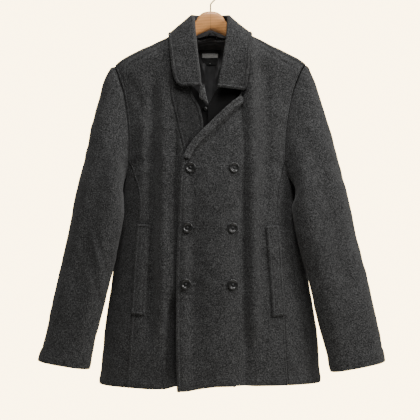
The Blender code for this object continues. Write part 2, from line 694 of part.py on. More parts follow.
def build_fronts(wool):
    """The fronts, each from its side seam and armhole to its edge. They return their outer grids."""
    grids = {}
    columns = {RIGHT: 9, LEFT: 16}
    for side, name in ((RIGHT, "front_right"), (LEFT, "front_left")):
        outer_line, angles = side_line(FRONT, side, GAP / 2)
        table = V_SEAM if side == RIGHT else OVER_EDGE
        inner_line = line_up(table, LEVELS, -GAP / 2 if side == RIGHT else 0)
        bottom_x = np.linspace(outer_line[0, 0], inner_line[0, 0], columns[side])
        bottom = np.stack([bottom_x, path_to(bottom_x, hem_height(bottom_x, FRONT, side))], axis=-1)
        top_x = np.linspace(outer_line[-1, 0], inner_line[-1, 0], columns[side])
        top = np.stack([top_x, path_to(top_x, shoulder(top_x) - SHOULDER_SEAM_DROP) + GAP], axis=-1)
        outer_line[-1], inner_line[-1] = top[0], top[-1]
        outer_line[0], inner_line[0] = bottom[0], bottom[-1]
        lift = over_lift if side == LEFT else None
        grid = coons(outer_line, inner_line, bottom, top)
        _, grids[side] = panel(name, grid, FRONT, side, wool, lift, armhole_normals(angles, side))
    first = line_up(V_SEAM, LEVELS, GAP / 2)
    last = line_up(UNDER_EDGE, LEVELS)
    bottom_x = np.linspace(first[0, 0], last[0, 0], 7)
    bottom = np.stack([bottom_x, path_to(bottom_x, hem_height(bottom_x, FRONT, RIGHT))], axis=-1)
    top_x = np.linspace(first[-1, 0], last[-1, 0], 7)
    top = np.stack([top_x, path_to(top_x, shoulder(top_x) - SHOULDER_SEAM_DROP) + GAP], axis=-1)
    first[0], last[0], first[-1], last[-1] = bottom[0], bottom[-1], top[0], top[-1]
    panel("front_right_inner", coons(first, last, bottom, top), FRONT, RIGHT, wool)
    return grids


def neck_line(count, side):
    """The back's neck edge, from the middle of the back to the shoulder seam."""
    middle = float(path_to(0.0, SHOULDER_TOP - BACK_NECK_DROP))
    turn = np.linspace(0, 1, count)
    x = NECK_POINT[side] * np.sin(np.minimum(turn / 0.8, 1) * math.pi / 2)
    curve = middle * np.cos(np.minimum(turn / 0.8, 1) * math.pi / 2)
    over = -SEAM_PATH * np.clip((turn - 0.8) / 0.2, 0, 1)
    return np.stack([side * x, curve + over], axis=-1)


def build_backs(wool):
    for side, name in ((RIGHT, "back_right"), (LEFT, "back_left")):
        outer_line, angles = side_line(BACK, side, GAP / 2)
        neck = neck_line(len(LEVELS_BACK) - CENTRE_ROWS + 1, side)
        hem = float(path_to(0.0, hem_height(0.0, BACK, side)))
        centre = np.stack([np.zeros(CENTRE_ROWS), np.linspace(hem, neck[0, 1], CENTRE_ROWS)], axis=-1)
        inner_line = np.concatenate([centre, neck[1:]])
        inner_line[:CENTRE_ROWS, 0] = side * GAP / 2
        bottom_x = np.linspace(outer_line[0, 0], inner_line[0, 0], 10)
        bottom = np.stack([bottom_x, path_to(bottom_x, hem_height(bottom_x, BACK, side))], axis=-1)
        top_x = np.linspace(outer_line[-1, 0], inner_line[-1, 0], 10)
        top = np.stack([top_x, 0 * top_x - SEAM_PATH + GAP], axis=-1)
        outer_line[-1], inner_line[-1] = top[0], top[-1]
        outer_line[0], inner_line[0] = bottom[0], bottom[-1]
        grid = coons(outer_line, inner_line, bottom, top)
        panel(name, grid, BACK, side, wool, None, armhole_normals(angles, side))


def build_sides(wool):
    """Each side body wraps from the front's seam, under the arm, to the back's seam."""
    for side, name in ((RIGHT, "side_right"), (LEFT, "side_left")):
        lines = []
        for facing in (FRONT, BACK):
            x, z = seam_heights(SEAM_LEVELS, facing, side)
            x = x + side * GAP / 2
            turn = np.arcsin((np.abs(x) / half_width(z, side)) ** (RING_POWER / 2))
            lines.append(np.stack([turn if facing == FRONT else math.pi - turn, z], axis=-1))
        point, x, _, in_front = armhole(UNDERARM_ANGLES, side)
        turn = np.arcsin(np.clip(np.abs(x) / half_width(point[:, 2], side), 0, 1) ** (RING_POWER / 2))
        top = np.stack([np.where(in_front, turn, math.pi - turn), point[:, 2]], axis=-1)
        bottom = lines[0][0] + (lines[1][0] - lines[0][0]) * np.linspace(0, 1, len(top))[:, None]
        top[:, 1] -= UNDERARM_DROP
        top[0], top[-1] = lines[0][-1], lines[1][-1]
        grid = coons(lines[0], lines[1], bottom, top)
        turn, z = grid[..., 0], grid[..., 1]
        points = ring(turn, z, side)
        middle = np.stack([0 * z, 0 * z - 0.01, z], axis=-1)
        normal = normals(lambda a, b: ring(a, b, side), turn, z, points - middle)
        normal[-1] = armhole_normals(UNDERARM_ANGLES, side)
        wall(name, points, points - normal * WOOL, wool)


def build_sleeves(wool):
    """Two pieces a sleeve: the upper round the front and outside, the under behind and inside."""
    rows = np.array([0, 0.03, 0.07, 0.12, 0.19, 0.27, 0.36, 0.48, 0.63, 0.81, 1.0])
    for side, name in ((RIGHT, "sleeve_right"), (LEFT, "sleeve_left")):
        for angles, piece in ((UPPER_ANGLES, "upper"), (UNDER_ANGLES, "under")):
            speed = np.linalg.norm(sleeve(angles, SMALL, side) - sleeve(angles, 0.0, side), axis=-1) / SMALL
            share = rows[:, None] + (ARMHOLE_GAP / speed)[None] * (rows == 0)[:, None]
            angle = np.broadcast_to(angles[None], share.shape).copy()
            for column, way in ((0, 1), (-1, -1)):
                here = sleeve(angle[:, column], share[:, column], side)
                ahead = sleeve(angle[:, column] + SMALL * way, share[:, column], side)
                turn = SMALL / np.linalg.norm(ahead - here, axis=-1)
                angle[:, column] += way * GAP * turn
            points = sleeve(angle, share, side)
            normal = sleeve_normals(angle, share, side)
            for column in (0, -1):
                normal[:, column] = sleeve_normals(angles[column], share[:, column], side)
            mitre = (1 - ease(0, MITRE_SHARE, rows))[:, None, None]
            normal = normal * (1 - mitre) + armhole_normals(angles, side) * mitre
            normal /= np.linalg.norm(normal, axis=-1, keepdims=True)
            wall(f"{name}_{piece}", points, points - normal * WOOL, wool)


def collar_rows():
    """Neck, roll and free-edge points of the collar's hollow side, from the right end to the left."""
    rows = {}
    for side in (RIGHT, LEFT):
        table = COLLAR[side]
        neck, roll, edge = [], [], []
        for number, (nx, nz, rx, ry, rz, fx, fz, lift) in enumerate(table):
            facing = BACK if number < COLLAR_BACK_ROWS else FRONT
            raised = over_lift(nx, nz) if (side == LEFT and facing == FRONT) else 0.0
            neck.append(lifted(side * nx, path_to(nx, nz), facing, side, raised))
            roll.append(np.array([side * rx, ry, rz]))
            raised = over_lift(fx, fz) if (side == LEFT and facing == FRONT) else 0.0
            edge.append(lifted(side * fx, path_to(fx, fz), facing, side, lift + raised))
        rows[side] = np.array([neck, roll, edge])
    return np.concatenate([rows[RIGHT][:, :0:-1], rows[LEFT]], axis=1)


def collar_point(place, across, rows):
    """Stand and fall are straight, and one runs into the other round the roll."""
    stations = np.arange(rows.shape[1], dtype=float)
    neck, roll, edge = (
        np.stack([smooth(place, stations, line[:, axis]) for axis in range(3)], axis=-1) for line in rows
    )
    across = np.asarray(across, float)[..., None]
    stand = neck + (roll - neck) * across / STAND_SHARE
    fall = roll + (edge - roll) * (across - STAND_SHARE) / (1 - STAND_SHARE)
    over = ease(STAND_SHARE - ROLL_SHARE, STAND_SHARE + ROLL_SHARE, across)
    return stand * (1 - over) + fall * over


def build_collar(wool):
    rows = collar_rows()
    last = rows.shape[1] - 1
    across = np.array([0.02, 0.16, 0.28, 0.33, 0.38, 0.44, 0.70, 1.0])
    place, across = np.meshgrid(np.linspace(0, last, 2 * last + 1), across, indexing="ij")
    points = collar_point(place, across, rows)
    stations = np.arange(last + 1, dtype=float)
    inside = np.stack(
        [smooth(place, stations, (rows[0] + rows[2])[:, axis] / 2) for axis in range(3)], axis=-1
    )
    roll = np.stack([smooth(place, stations, rows[1][:, axis]) for axis in range(3)], axis=-1)
    place = np.clip(place, 0.001, last - 0.001)
    clear = np.clip(across, 0.001, 0.999)
    normal = normals(lambda a, b: collar_point(a, b, rows), place, clear, roll - inside)
    wall("collar", points + normal * COLLAR_CLOTH, points, wool)


def strip_grid(table, levels, widths):
    """Places beside an edge line: along it by level, and across it by width, towards its lower side."""
    step = 0.01
    x, z = (smooth(levels, table[:, 0], table[:, axis]) for axis in (1, 2))
    ahead, behind = (
        [smooth(levels + way, table[:, 0], table[:, axis]) for axis in (1, 2)] for way in (step, -step)
    )
    run_x, run_z = ahead[0] - behind[0], ahead[1] - behind[1]
    length = np.hypot(run_x, run_z)
    across_x, across_z = run_z / length, -run_x / length
    return x[:, None] + across_x[:, None] * widths, z[:, None] + across_z[:, None] * widths


def laid_on(tree, x, z, side):
    """Points on a front's own facets, moved out by a gap, and the facets' normals."""
    form = sheet(x, path_to(x, z), FRONT, side)
    points, out = np.zeros(form.shape), np.zeros(form.shape)
    for place in np.ndindex(x.shape):
        found, normal, _, _ = tree.find_nearest(Vector(form[place]))
        points[place], out[place] = found, normal * (-1 if normal.y > 0 else 1)
    return points + out * FACET_GAP, out


def build_trims(grids, finishes):
    """What lies on the fronts: the turned-back strip, the welts and the buttons."""
    wool = finishes["wool"]
    trees = {side: facets(grid) for side, grid in grids.items()}
    x, z = strip_grid(OVER_EDGE, np.linspace(*STRIP_LEVELS, 21), STRIP_WIDTHS)
    points, out = laid_on(trees[LEFT], x, z, LEFT)
    points = points + out * STRIP_GAP
    wall("lapel_left", points + out * LAPEL_CLOTH, points, wool)
    for side, name in ((RIGHT, "welt_right"), (LEFT, "welt_left")):
        top, bottom = WELTS[side]
        heights = np.linspace(bottom, top, 11)
        seam = smooth(heights, SIDE_SEAMS[:, 0], SIDE_SEAMS[:, 1 + (side > 0)])
        across = np.linspace(WELT_INSET, WELT_WIDTH, 5)
        x = side * (seam[:, None] - across[None])
        z = heights[:, None] - WELT_SLOPE * across[None]
        points, out = laid_on(trees[side], x, z, side)
        wall(name, points + out * WELT_CLOTH, points, wool)
    for number, (x, z) in enumerate(BUTTONS, 1):
        points, out = laid_on(trees[LEFT], np.array([[x]]), np.array([[z]]), LEFT)
        place, direction = Vector(points[0, 0]), Vector(out[0, 0])
        turned(f"button_{number}", BUTTON_PROFILE, place, direction, finishes["button"])


def facets(grid):
    _, cells = grid_faces(*grid.shape[:2])
    return BVHTree.FromPolygons(grid.reshape(-1, 3).tolist(), cells.tolist())


def turned(name, profile, place, direction, finish):
    """A profile of (radius, height) turned round the piece's own axis, which then points in a direction."""
    mesh = bpy.data.meshes.new(name)
    edges = [(number, number + 1) for number in range(len(profile) - 1)]
    mesh.from_pydata([(radius, 0, height) for radius, height in profile], edges, [])
    piece = add(name, mesh, finish, smooth_shading=False)
    screw = piece.modifiers.new("Screw", "SCREW")
    screw.steps = screw.render_steps = 20
    screw.use_merge_vertices = True
    screw.merge_threshold = 1e-5
    piece.location = place
    piece.rotation_euler = direction.to_track_quat("Z", "Y").to_euler()
    return piece


def build_inside(finishes):
    """The lining below the back neck, the label and hanging loop on it, and the dark layer across the V."""
    x = np.linspace(-0.070, 0.070, 11)
    neck = float(path_to(0.0, SHOULDER_TOP - BACK_NECK_DROP))
    top = neck * np.sqrt(np.clip(1 - (x / 0.0625) ** 2, 0, 1)) + 0.003
    top = np.maximum(top, 0.046)
    bottom = path_to(x, -0.345 + 0 * x)
    t = np.linspace(0, 1, 7)[:, None]
    path = bottom * (1 - t) + top * t
    x = np.broadcast_to(x, path.shape)
    lift = np.full(path.shape, -WOOL - LINING_GAP)
    outer, inner = (lifted(x, path, BACK, LEFT, lift - depth) for depth in (0, LINING))
    mirror = (x < 0)[..., None]
    outer_right, inner_right = (lifted(x, path, BACK, RIGHT, lift - depth) for depth in (0, LINING))
    outer, inner = np.where(mirror, outer_right, outer), np.where(mirror, inner_right, inner)
    wall("lining_back", outer, inner, finishes["lining"])

    x, z = np.meshgrid(np.linspace(-0.0245, 0.0222, 5), np.linspace(-0.1837, -0.1486, 4))
    face = -WOOL - LINING_GAP - LINING - 2 * GAP
    outer, inner = (lifted(x, path_to(x, z), BACK, LEFT, face - depth) for depth in (0, 0.0008))
    wall("label", outer, inner, finishes["label"])

    for side, name in ((RIGHT, "insert_right"), (LEFT, "insert_left")):
        table = np.array(INSERT[side])
        t = np.linspace(0, 1, 7)[:, None]
        z = INSERT_FOOT * (1 - t) + table[:, 1] * t
        x = np.broadcast_to(table[:, 0], z.shape)
        lift = np.broadcast_to(table[:, 2], z.shape)
        outer, inner = (lifted(x, path_to(x, z), FRONT, side, lift - depth) for depth in (0, LINING))
        wall(name, outer, inner, finishes["insert"])

    x, z = SNAP_PLACE
    place = lifted(x, path_to(x, z), FRONT, RIGHT, SNAP_LIFT)
    turned("snap", SNAP_PROFILE, Vector(place), Vector((0, -1, 0)), finishes["button"])

    left, right = (np.array([[row[column], row[4], row[column + 1]] for row in TIP]) for column in (0, 2))
    across = np.linspace(0, 1, 3)[None, :, None]
    points = left[:, None] * (1 - across) + right[:, None] * across
    wall("lapel_right", points - np.array([0, TIP_CLOTH, 0]), points, finishes["wool"])


def tube(name, route, radius, finish, sides=2):
    curve = bpy.data.curves.new(name, "CURVE")
    curve.dimensions = "3D"
    curve.bevel_depth = radius
    curve.bevel_resolution = sides
    curve.use_fill_caps = True
    curve.render_resolution_u = 0
    spline = curve.splines.new("POLY")
    spline.points.add(len(route) - 1)
    for point, place in zip(spline.points, route):
        point.co = (*place, 1)
    curve.materials.append(finish)
    piece = bpy.data.objects.new(name, curve)
    bpy.data.collections[COLLECTION].objects.link(piece)
    return piece


def build_loop(finish):
    """The hanging loop: an arch whose two ends lie on the lining."""
    turn = np.linspace(math.pi, 0, 13)
    x = LOOP_MIDDLE + LOOP_HALF_WIDTH * np.cos(turn)
    z = LOOP_FOOT + LOOP_HEIGHT * np.sin(turn)
    face = -WOOL - LINING_GAP - LINING
    feet = lifted(x, path_to(x, np.full(x.shape, LOOP_FOOT)), BACK, LEFT, face - LOOP_WIRE)
    tube("hang_loop", np.stack([x, feet[:, 1] - 0.0015 * np.sin(turn), z], axis=-1), LOOP_WIRE, finish)


def build_hanger(wood, steel):
    """A loft of rounded sections along the arms, with a domed middle, drilled for the hook."""
    x = HANGER_HALF_SPAN * np.sin(np.linspace(-1, 1, 29) * math.pi / 2)
    out = np.abs(x)
    under_cloth = shoulder(x) - WOOL - HANGER_GAP - HANGER_END_DROP * (out / HANGER_HALF_SPAN) ** 2
    top = smooth(out, HANGER_CROWN[:, 0], HANGER_CROWN[:, 1])
    top = np.where(out > HANGER_CROWN[-1, 0], under_cloth, top)
    bottom = HANGER_NOTCH - HANGER_NOTCH_SLOPE * out
    half = np.interp(out, (0, 0.05, HANGER_HALF_SPAN), (0.0075, 0.0080, 0.0085))
    turn = np.linspace(0, 2 * math.pi, 13)[:-1]
    across = np.sign(np.cos(turn)) * np.abs(np.cos(turn)) ** 0.8
    upward = np.sign(np.sin(turn)) * np.abs(np.sin(turn)) ** 0.8
    middle, rise = (top + bottom) / 2, (top - bottom) / 2
    points = np.stack(
        [
            np.broadcast_to(x[:, None], (len(x), len(turn))),
            half[:, None] * across,
            middle[:, None] + rise[:, None] * upward,
        ],
        axis=-1,
    )
    rows, columns = points.shape[:2]
    number = np.arange(rows * columns).reshape(rows, columns)
    after = np.roll(number, -1, axis=1)
    quads = np.stack([number[:-1], after[:-1], after[1:], number[1:]], axis=-1).reshape(-1, 4)
    mesh = bpy.data.meshes.new("hanger_wood")
    ends = [number[0].tolist(), number[-1].tolist()]
    mesh.from_pydata(points.reshape(-1, 3).tolist(), [], quads.tolist() + ends)
    shape = bmesh.new()
    shape.from_mesh(mesh)
    bmesh.ops.recalc_face_normals(shape, faces=shape.faces)
    shape.to_mesh(mesh)
    shape.free()
    body = add("hanger_wood", mesh, wood)
    bpy.ops.mesh.primitive_cylinder_add(
        vertices=16, radius=HOOK_WIRE + HOOK_CLEARANCE, depth=2 * HOOK_SOCKET, location=(0, 0, HANGER_TOP)
    )
    drill = bpy.context.object
    drill.name = "hook_socket"
    drill.hide_render = True
    drill.display_type = "WIRE"
    cut = body.modifiers.new("Socket", "BOOLEAN")
    cut.object = drill

    centre = HOOK_INSIDE + HOOK_WIRE
    circle = np.linspace(*map(math.radians, HOOK_ARC), 22)
    crook = [(centre * math.cos(a), 0, -HOOK_INSIDE + centre * math.sin(a)) for a in circle]
    stem = [(0, 0, HANGER_TOP - HOOK_SOCKET + HOOK_SEAT), (0, 0, HOOK_NECK - 0.004)]
    join_x, _, join_z = crook[0]
    rise = join_z - HOOK_NECK
    bend = [
        (join_x * ease(0, 1, share), 0, HOOK_NECK + rise * share**HOOK_BEND) for share in (0.2, 0.4, 0.6, 0.8)
    ]
    tube("hanger_hook", stem + [tuple(map(float, place)) for place in bend] + crook, HOOK_WIRE, steel)


def main():
    for old in list(bpy.data.objects):
        bpy.data.objects.remove(old)
    bpy.context.scene.collection.children.link(bpy.data.collections.new(COLLECTION))
    finishes = {
        "wool": material("melange wool", (0.034, 0.034, 0.031), 0.95),
        "lining": material("satin lining", (0.014, 0.014, 0.015), 0.35),
        "insert": material("dark inner layer", (0.016, 0.016, 0.016), 0.6),
        "label": material("woven label", (0.010, 0.010, 0.010), 0.7),
        "button": material("button", (0.03, 0.03, 0.03), 0.2),
        "wood": material("beech", (0.58, 0.30, 0.14), 0.4),
        "steel": material("steel", (0.75, 0.75, 0.75), 0.2, 1.0),
    }
    grids = build_fronts(finishes["wool"])
    build_backs(finishes["wool"])
    build_sides(finishes["wool"])
    build_sleeves(finishes["wool"])
    build_collar(finishes["wool"])
    build_trims(grids, finishes)
    build_inside(finishes)
    build_loop(finishes["lining"])
    build_hanger(finishes["wood"], finishes["steel"])


main()
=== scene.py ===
"""A dark grey wool pea coat on a wooden hanger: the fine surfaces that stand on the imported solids, and a studio.

Lengths are in metres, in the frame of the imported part: its origin is inside the top of the hook, +Z is up, -Y is
the front and +X is the wearer's left. Every piece stands on the same forms as its solid, and its relief is added
along the form's normals.
"""

import math

import bpy
import numpy as np
from bpy.props import FloatProperty, FloatVectorProperty, PointerProperty
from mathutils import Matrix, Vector


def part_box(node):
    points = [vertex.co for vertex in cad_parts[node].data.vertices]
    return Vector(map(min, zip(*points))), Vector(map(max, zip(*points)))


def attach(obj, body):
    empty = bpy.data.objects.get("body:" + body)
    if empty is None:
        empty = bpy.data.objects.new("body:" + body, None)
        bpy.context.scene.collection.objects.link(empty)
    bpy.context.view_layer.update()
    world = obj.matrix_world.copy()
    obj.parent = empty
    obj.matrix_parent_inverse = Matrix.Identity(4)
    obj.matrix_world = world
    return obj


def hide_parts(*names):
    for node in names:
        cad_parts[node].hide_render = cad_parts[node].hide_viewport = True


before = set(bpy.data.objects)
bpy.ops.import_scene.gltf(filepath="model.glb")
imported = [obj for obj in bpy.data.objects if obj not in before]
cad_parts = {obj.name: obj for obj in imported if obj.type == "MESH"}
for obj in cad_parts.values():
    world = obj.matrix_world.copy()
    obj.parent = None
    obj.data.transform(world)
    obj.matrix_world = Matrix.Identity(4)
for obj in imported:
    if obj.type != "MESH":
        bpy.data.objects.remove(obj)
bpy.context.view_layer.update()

bl_info = {
    "name": "Pea coat on a wooden hanger",
    "version": (1, 0, 0),
    "blender": (4, 5, 0),
    "location": "View3D > Sidebar > Pea coat",
    "description": "Makes a double-breasted wool pea coat on its hanger round the packed frame, and a studio",
    "category": "Add Mesh",
}

BODY = "root"
COLLECTION = "Pea coat"

# Walls and gaps
WOOL = 0.003
COLLAR_CLOTH = 0.004
LINING = 0.0012
GAP = 0.0003
LINING_GAP = 0.0016

# Shoulder line and the rounding of the cloth over it
SHOULDER_TOP = -0.0745
SHOULDER_SLOPE = 0.49
SHOULDER_BEND_FROM = 0.195
SHOULDER_BEND = 10.0
CREST_RADIUS = 0.040
QUARTER = CREST_RADIUS * math.pi / 2
SHOULDER_SEAM_DROP = 0.008
RING_POWER = 2.4

RIGHT, LEFT = -1, 1
FRONT, BACK = -1, 1

FORM = np.array(
    [
        # height, right half width, left half width, front depth, back depth, side y
        (-0.930, 0.2553, 0.2515, 0.092, 0.064, -0.014),
        (-0.833, 0.2465, 0.2450, 0.088, 0.062, -0.014),
        (-0.753, 0.2370, 0.2365, 0.084, 0.060, -0.013),
        (-0.657, 0.2225, 0.2210, 0.080, 0.058, -0.012),
        (-0.560, 0.2095, 0.2020, 0.076, 0.056, -0.011),
        (-0.463, 0.2005, 0.1930, 0.072, 0.053, -0.010),
        (-0.380, 0.2050, 0.1905, 0.066, 0.050, -0.008),
        (-0.300, 0.2115, 0.1990, 0.059, 0.046, -0.005),
        (-0.250, 0.2175, 0.2080, 0.054, 0.043, -0.003),
        (-0.200, 0.2275, 0.2245, 0.048, 0.040, -0.001),
        (-0.100, 0.2360, 0.2340, 0.040, 0.036, 0.000),
    ]
)

# Folds: centre x, half width, depth (a ridge is positive), top, bottom, drift of x from top to bottom. The first
# ones run through both fronts, so that the under front keeps behind the over front in them.
OVERLAP_FOLDS = (
    (0.060, 0.010, 0.0020, -0.24, -0.44, 0.004),
    (0.071, 0.015, -0.0072, -0.19, -0.92, 0.007),
    (0.020, 0.026, 0.0040, -0.42, -0.90, -0.004),
)
FOLDS = {
    (FRONT, RIGHT): (
        (-0.073, 0.010, 0.0030, -0.25, -0.42, 0.012),
        (-0.130, 0.014, -0.0080, -0.22, -0.80, -0.004),
        (-0.152, 0.013, 0.0040, -0.32, -0.53, -0.003),
        (-0.105, 0.013, 0.0045, -0.38, -0.80, -0.003),
        (-0.079, 0.017, -0.0150, -0.72, -0.95, 0.004),
        *OVERLAP_FOLDS,
    ),
    (FRONT, LEFT): (
        *OVERLAP_FOLDS,
        (0.091, 0.0125, 0.0092, -0.14, -0.80, 0.007),
        (0.126, 0.013, -0.0070, -0.19, -0.50, 0.000),
    ),
    (BACK, RIGHT): (
        (-0.060, 0.016, -0.0050, -0.24, -0.70, -0.010),
        (-0.095, 0.015, 0.0055, -0.20, -0.86, -0.012),
        (-0.130, 0.014, -0.0050, -0.22, -0.56, 0.000),
    ),
    (BACK, LEFT): (
        (0.052, 0.018, -0.0045, -0.30, -0.84, 0.008),
        (0.090, 0.014, 0.0050, -0.20, -0.60, 0.010),
        (0.122, 0.013, -0.0055, -0.18, -0.50, 0.004),
    ),
}

ARMHOLE_TOP = {RIGHT: 0.2205, LEFT: 0.2185}
UNDERARM_HEIGHT = -0.463
ARMHOLE = np.array(
    [
        # share of the armhole's height, then its distance from the middle: front right and left, back right and left
        (0.00, 0.2005, 0.1930, 0.2005, 0.1930),
        (0.06, 0.1925, 0.1775, 0.1930, 0.1800),
        (0.15, 0.1875, 0.1703, 0.1890, 0.1745),
        (0.30, 0.1851, 0.1690, 0.1870, 0.1740),
        (0.45, 0.1863, 0.1722, 0.1880, 0.1770),
        (0.60, 0.1908, 0.1788, 0.1920, 0.1830),
        (0.78, 0.1996, 0.1905, 0.2005, 0.1940),
        (0.86, 0.2070, 0.1990, 0.2075, 0.2015),
        (0.96, 0.2167, 0.2115, 0.2170, 0.2125),
        (1.00, 0.2205, 0.2185, 0.2205, 0.2185),
    ]
)
# Angles round the armhole, 0 at the underarm and pi at the shoulder: where the body's and the sleeve's seams meet it
SIDE_SEAM_ANGLE = 0.90
SHOULDER_SEAM_ANGLE = 2.80
BACK_SEAM_ANGLE = 2 * math.pi - 0.95
SLEEVE_FRONT_SEAM = -0.25
SLEEVE_BACK_SEAM = 3.90
SLEEVE_HEAD = 0.22
HEAD_GAP = 0.0002
MITRE_SHARE = 0.10
SEAM_PATH = CREST_RADIUS * math.acos(1 - SHOULDER_SEAM_DROP / CREST_RADIUS)

SIDE_SEAMS = np.array(
    [
        # height, distance from the middle of the front seam: right, left, of the back seam: right, left
        (-0.930, 0.1878, 0.1742, 0.1880, 0.1800),
        (-0.845, 0.1826, 0.1690, 0.1840, 0.1760),
        (-0.755, 0.1758, 0.1653, 0.1790, 0.1720),
        (-0.655, 0.1703, 0.1590, 0.1730, 0.1650),
        (-0.555, 0.1632, 0.1512, 0.1680, 0.1590),
        (-0.510, 0.1600, 0.1495, 0.1665, 0.1575),
        (-0.475, 0.1625, 0.1535, 0.1685, 0.1590),
        (-0.440, 0.1735, 0.1615, 0.1760, 0.1650),
    ]
)

HEM = {
    # x, height
    (FRONT, RIGHT): (
        (-0.26, -0.9108),
        (-0.21, -0.9150),
        (-0.14, -0.9174),
        (-0.10, -0.9165),
        (-0.07, -0.9117),
        (0.06, -0.9100),
    ),
    (FRONT, LEFT): (
        (-0.072, -0.9205),
        (-0.050, -0.9195),
        (-0.02, -0.9139),
        (0.03, -0.9072),
        (0.09, -0.9091),
        (0.26, -0.9108),
    ),
    (BACK, RIGHT): ((-0.26, -0.9108), (-0.12, -0.9130), (0.0, -0.9120)),
    (BACK, LEFT): ((0.0, -0.9120), (0.12, -0.9135), (0.26, -0.9108)),
}

# Lines up the fronts: level (0 at the hem, 1 at the foot of the armhole, 2 at the shoulder seam), x, height
OVER_EDGE = np.array(
    [
        (0.000, -0.0711, -0.9205),
        (0.250, -0.0740, -0.8000),
        (0.500, -0.0742, -0.6700),
        (0.750, -0.0705, -0.5500),
        (0.900, -0.0680, -0.4750),
        (1.000, -0.0655, -0.4320),
        (1.125, -0.0560, -0.3950),
        (1.250, -0.0380, -0.3650),
        (1.375, -0.0035, -0.3295),
        (1.500, 0.0315, -0.2950),
        (1.625, 0.0665, -0.2590),
        (1.750, 0.0710, -0.2200),
        (1.875, 0.0650, -0.1650),
        (2.000, 0.0615, -0.1126),
    ]
)
V_SEAM = np.array(
    [
        (0.000, -0.0500, -0.9115),
        (0.500, -0.0500, -0.6700),
        (0.900, -0.0510, -0.4750),
        (1.000, -0.0545, -0.4200),
        (1.125, -0.0600, -0.3890),
        (1.250, -0.0672, -0.3570),
        (1.375, -0.0755, -0.3240),
        (1.500, -0.0835, -0.2890),
        (1.625, -0.0905, -0.2585),
        (1.750, -0.0925, -0.2200),
        (1.875, -0.0870, -0.1700),
        (2.000, -0.0760, -0.1197),
    ]
)
UNDER_EDGE = np.array(
    [
        (0.000, 0.0550, -0.9100),
        (0.500, 0.0550, -0.6700),
        (0.900, 0.0530, -0.4800),
        (1.000, 0.0350, -0.4250),
        (1.125, 0.0070, -0.3850),
        (1.250, -0.0140, -0.3500),
        (1.375, -0.0190, -0.3180),
        (1.500, -0.0265, -0.2880),
        (1.625, -0.0425, -0.2580),
        (1.750, -0.0480, -0.2200),
        (1.875, -0.0540, -0.1700),
        (2.000, -0.0625, -0.1131),
    ]
)
NECK_POINT = {RIGHT: 0.0625, LEFT: 0.0615}
BACK_NECK_DROP = 0.0435
OVERLAP_LIFT = 0.0052

SLEEVE = {
    # share of length, outer x, outer z, inner x, inner z, inner y, outer y, front depth, back depth, inward bow
    RIGHT: np.array(
        [
            (0.00, 0.2205, -0.1889, 0.2005, -0.463, -0.010, 0.000, 0.040, 0.038, 0.012),
            (0.05, 0.2404, -0.2236, 0.2010, -0.473, -0.019, -0.002, 0.044, 0.040, 0.011),
            (0.12, 0.2557, -0.2693, 0.1990, -0.484, -0.032, -0.005, 0.046, 0.043, 0.009),
            (0.19, 0.2683, -0.3149, 0.1980, -0.496, -0.044, -0.009, 0.046, 0.046, 0.006),
            (0.26, 0.2797, -0.3606, 0.1965, -0.510, -0.053, -0.013, 0.045, 0.047, 0.003),
            (0.33, 0.2899, -0.4063, 0.1945, -0.527, -0.059, -0.017, 0.044, 0.047, 0.001),
            (0.41, 0.3002, -0.4519, 0.1965, -0.550, -0.063, -0.021, 0.043, 0.046, 0.000),
            (0.55, 0.3187, -0.5432, 0.2070, -0.598, -0.066, -0.027, 0.041, 0.044, 0.000),
            (0.69, 0.3372, -0.6345, 0.2215, -0.668, -0.067, -0.033, 0.040, 0.042, 0.000),
            (0.83, 0.3568, -0.7259, 0.2425, -0.748, -0.068, -0.038, 0.039, 0.040, 0.000),
            (0.95, 0.3783, -0.8172, 0.2630, -0.835, -0.069, -0.043, 0.038, 0.038, 0.000),
            (1.00, 0.3893, -0.8583, 0.2722, -0.8744, -0.070, -0.045, 0.038, 0.037, 0.000),
        ]
    ),
    LEFT: np.array(
        [
            (0.00, 0.2185, -0.1871, 0.1930, -0.463, -0.010, 0.000, 0.040, 0.038, 0.012),
            (0.05, 0.2363, -0.2236, 0.1940, -0.473, -0.019, -0.002, 0.044, 0.040, 0.013),
            (0.12, 0.2532, -0.2693, 0.1918, -0.484, -0.032, -0.005, 0.046, 0.043, 0.011),
            (0.19, 0.2676, -0.3149, 0.1900, -0.496, -0.044, -0.009, 0.046, 0.046, 0.008),
            (0.26, 0.2806, -0.3606, 0.1845, -0.510, -0.053, -0.013, 0.045, 0.047, 0.004),
            (0.33, 0.2927, -0.4063, 0.1845, -0.527, -0.059, -0.017, 0.044, 0.047, 0.002),
            (0.41, 0.3043, -0.4519, 0.1880, -0.552, -0.063, -0.021, 0.043, 0.046, 0.000),
            (0.55, 0.3253, -0.5432, 0.1995, -0.602, -0.066, -0.027, 0.041, 0.044, 0.000),
            (0.69, 0.3456, -0.6345, 0.2155, -0.670, -0.067, -0.033, 0.040, 0.042, 0.000),
            (0.83, 0.3660, -0.7259, 0.2350, -0.750, -0.068, -0.038, 0.039, 0.040, 0.000),
            (0.95, 0.3858, -0.8172, 0.2580, -0.838, -0.069, -0.043, 0.038, 0.038, 0.000),
            (1.00, 0.3947, -0.8596, 0.2699, -0.8811, -0.070, -0.045, 0.038, 0.037, 0.000),
        ]
    ),
}
SLEEVE_FOLDS = (
    # angle round the sleeve, half width as an angle, depth, share of length where it starts and ends
    (1.05, 0.28, 0.0040, 0.10, 0.95),
    (1.75, 0.26, -0.0045, 0.05, 0.80),
    (2.40, 0.30, 0.0035, 0.25, 1.05),
    (4.10, 0.30, -0.0040, 0.10, 0.70),
    (4.90, 0.30, 0.0035, 0.20, 0.95),
)

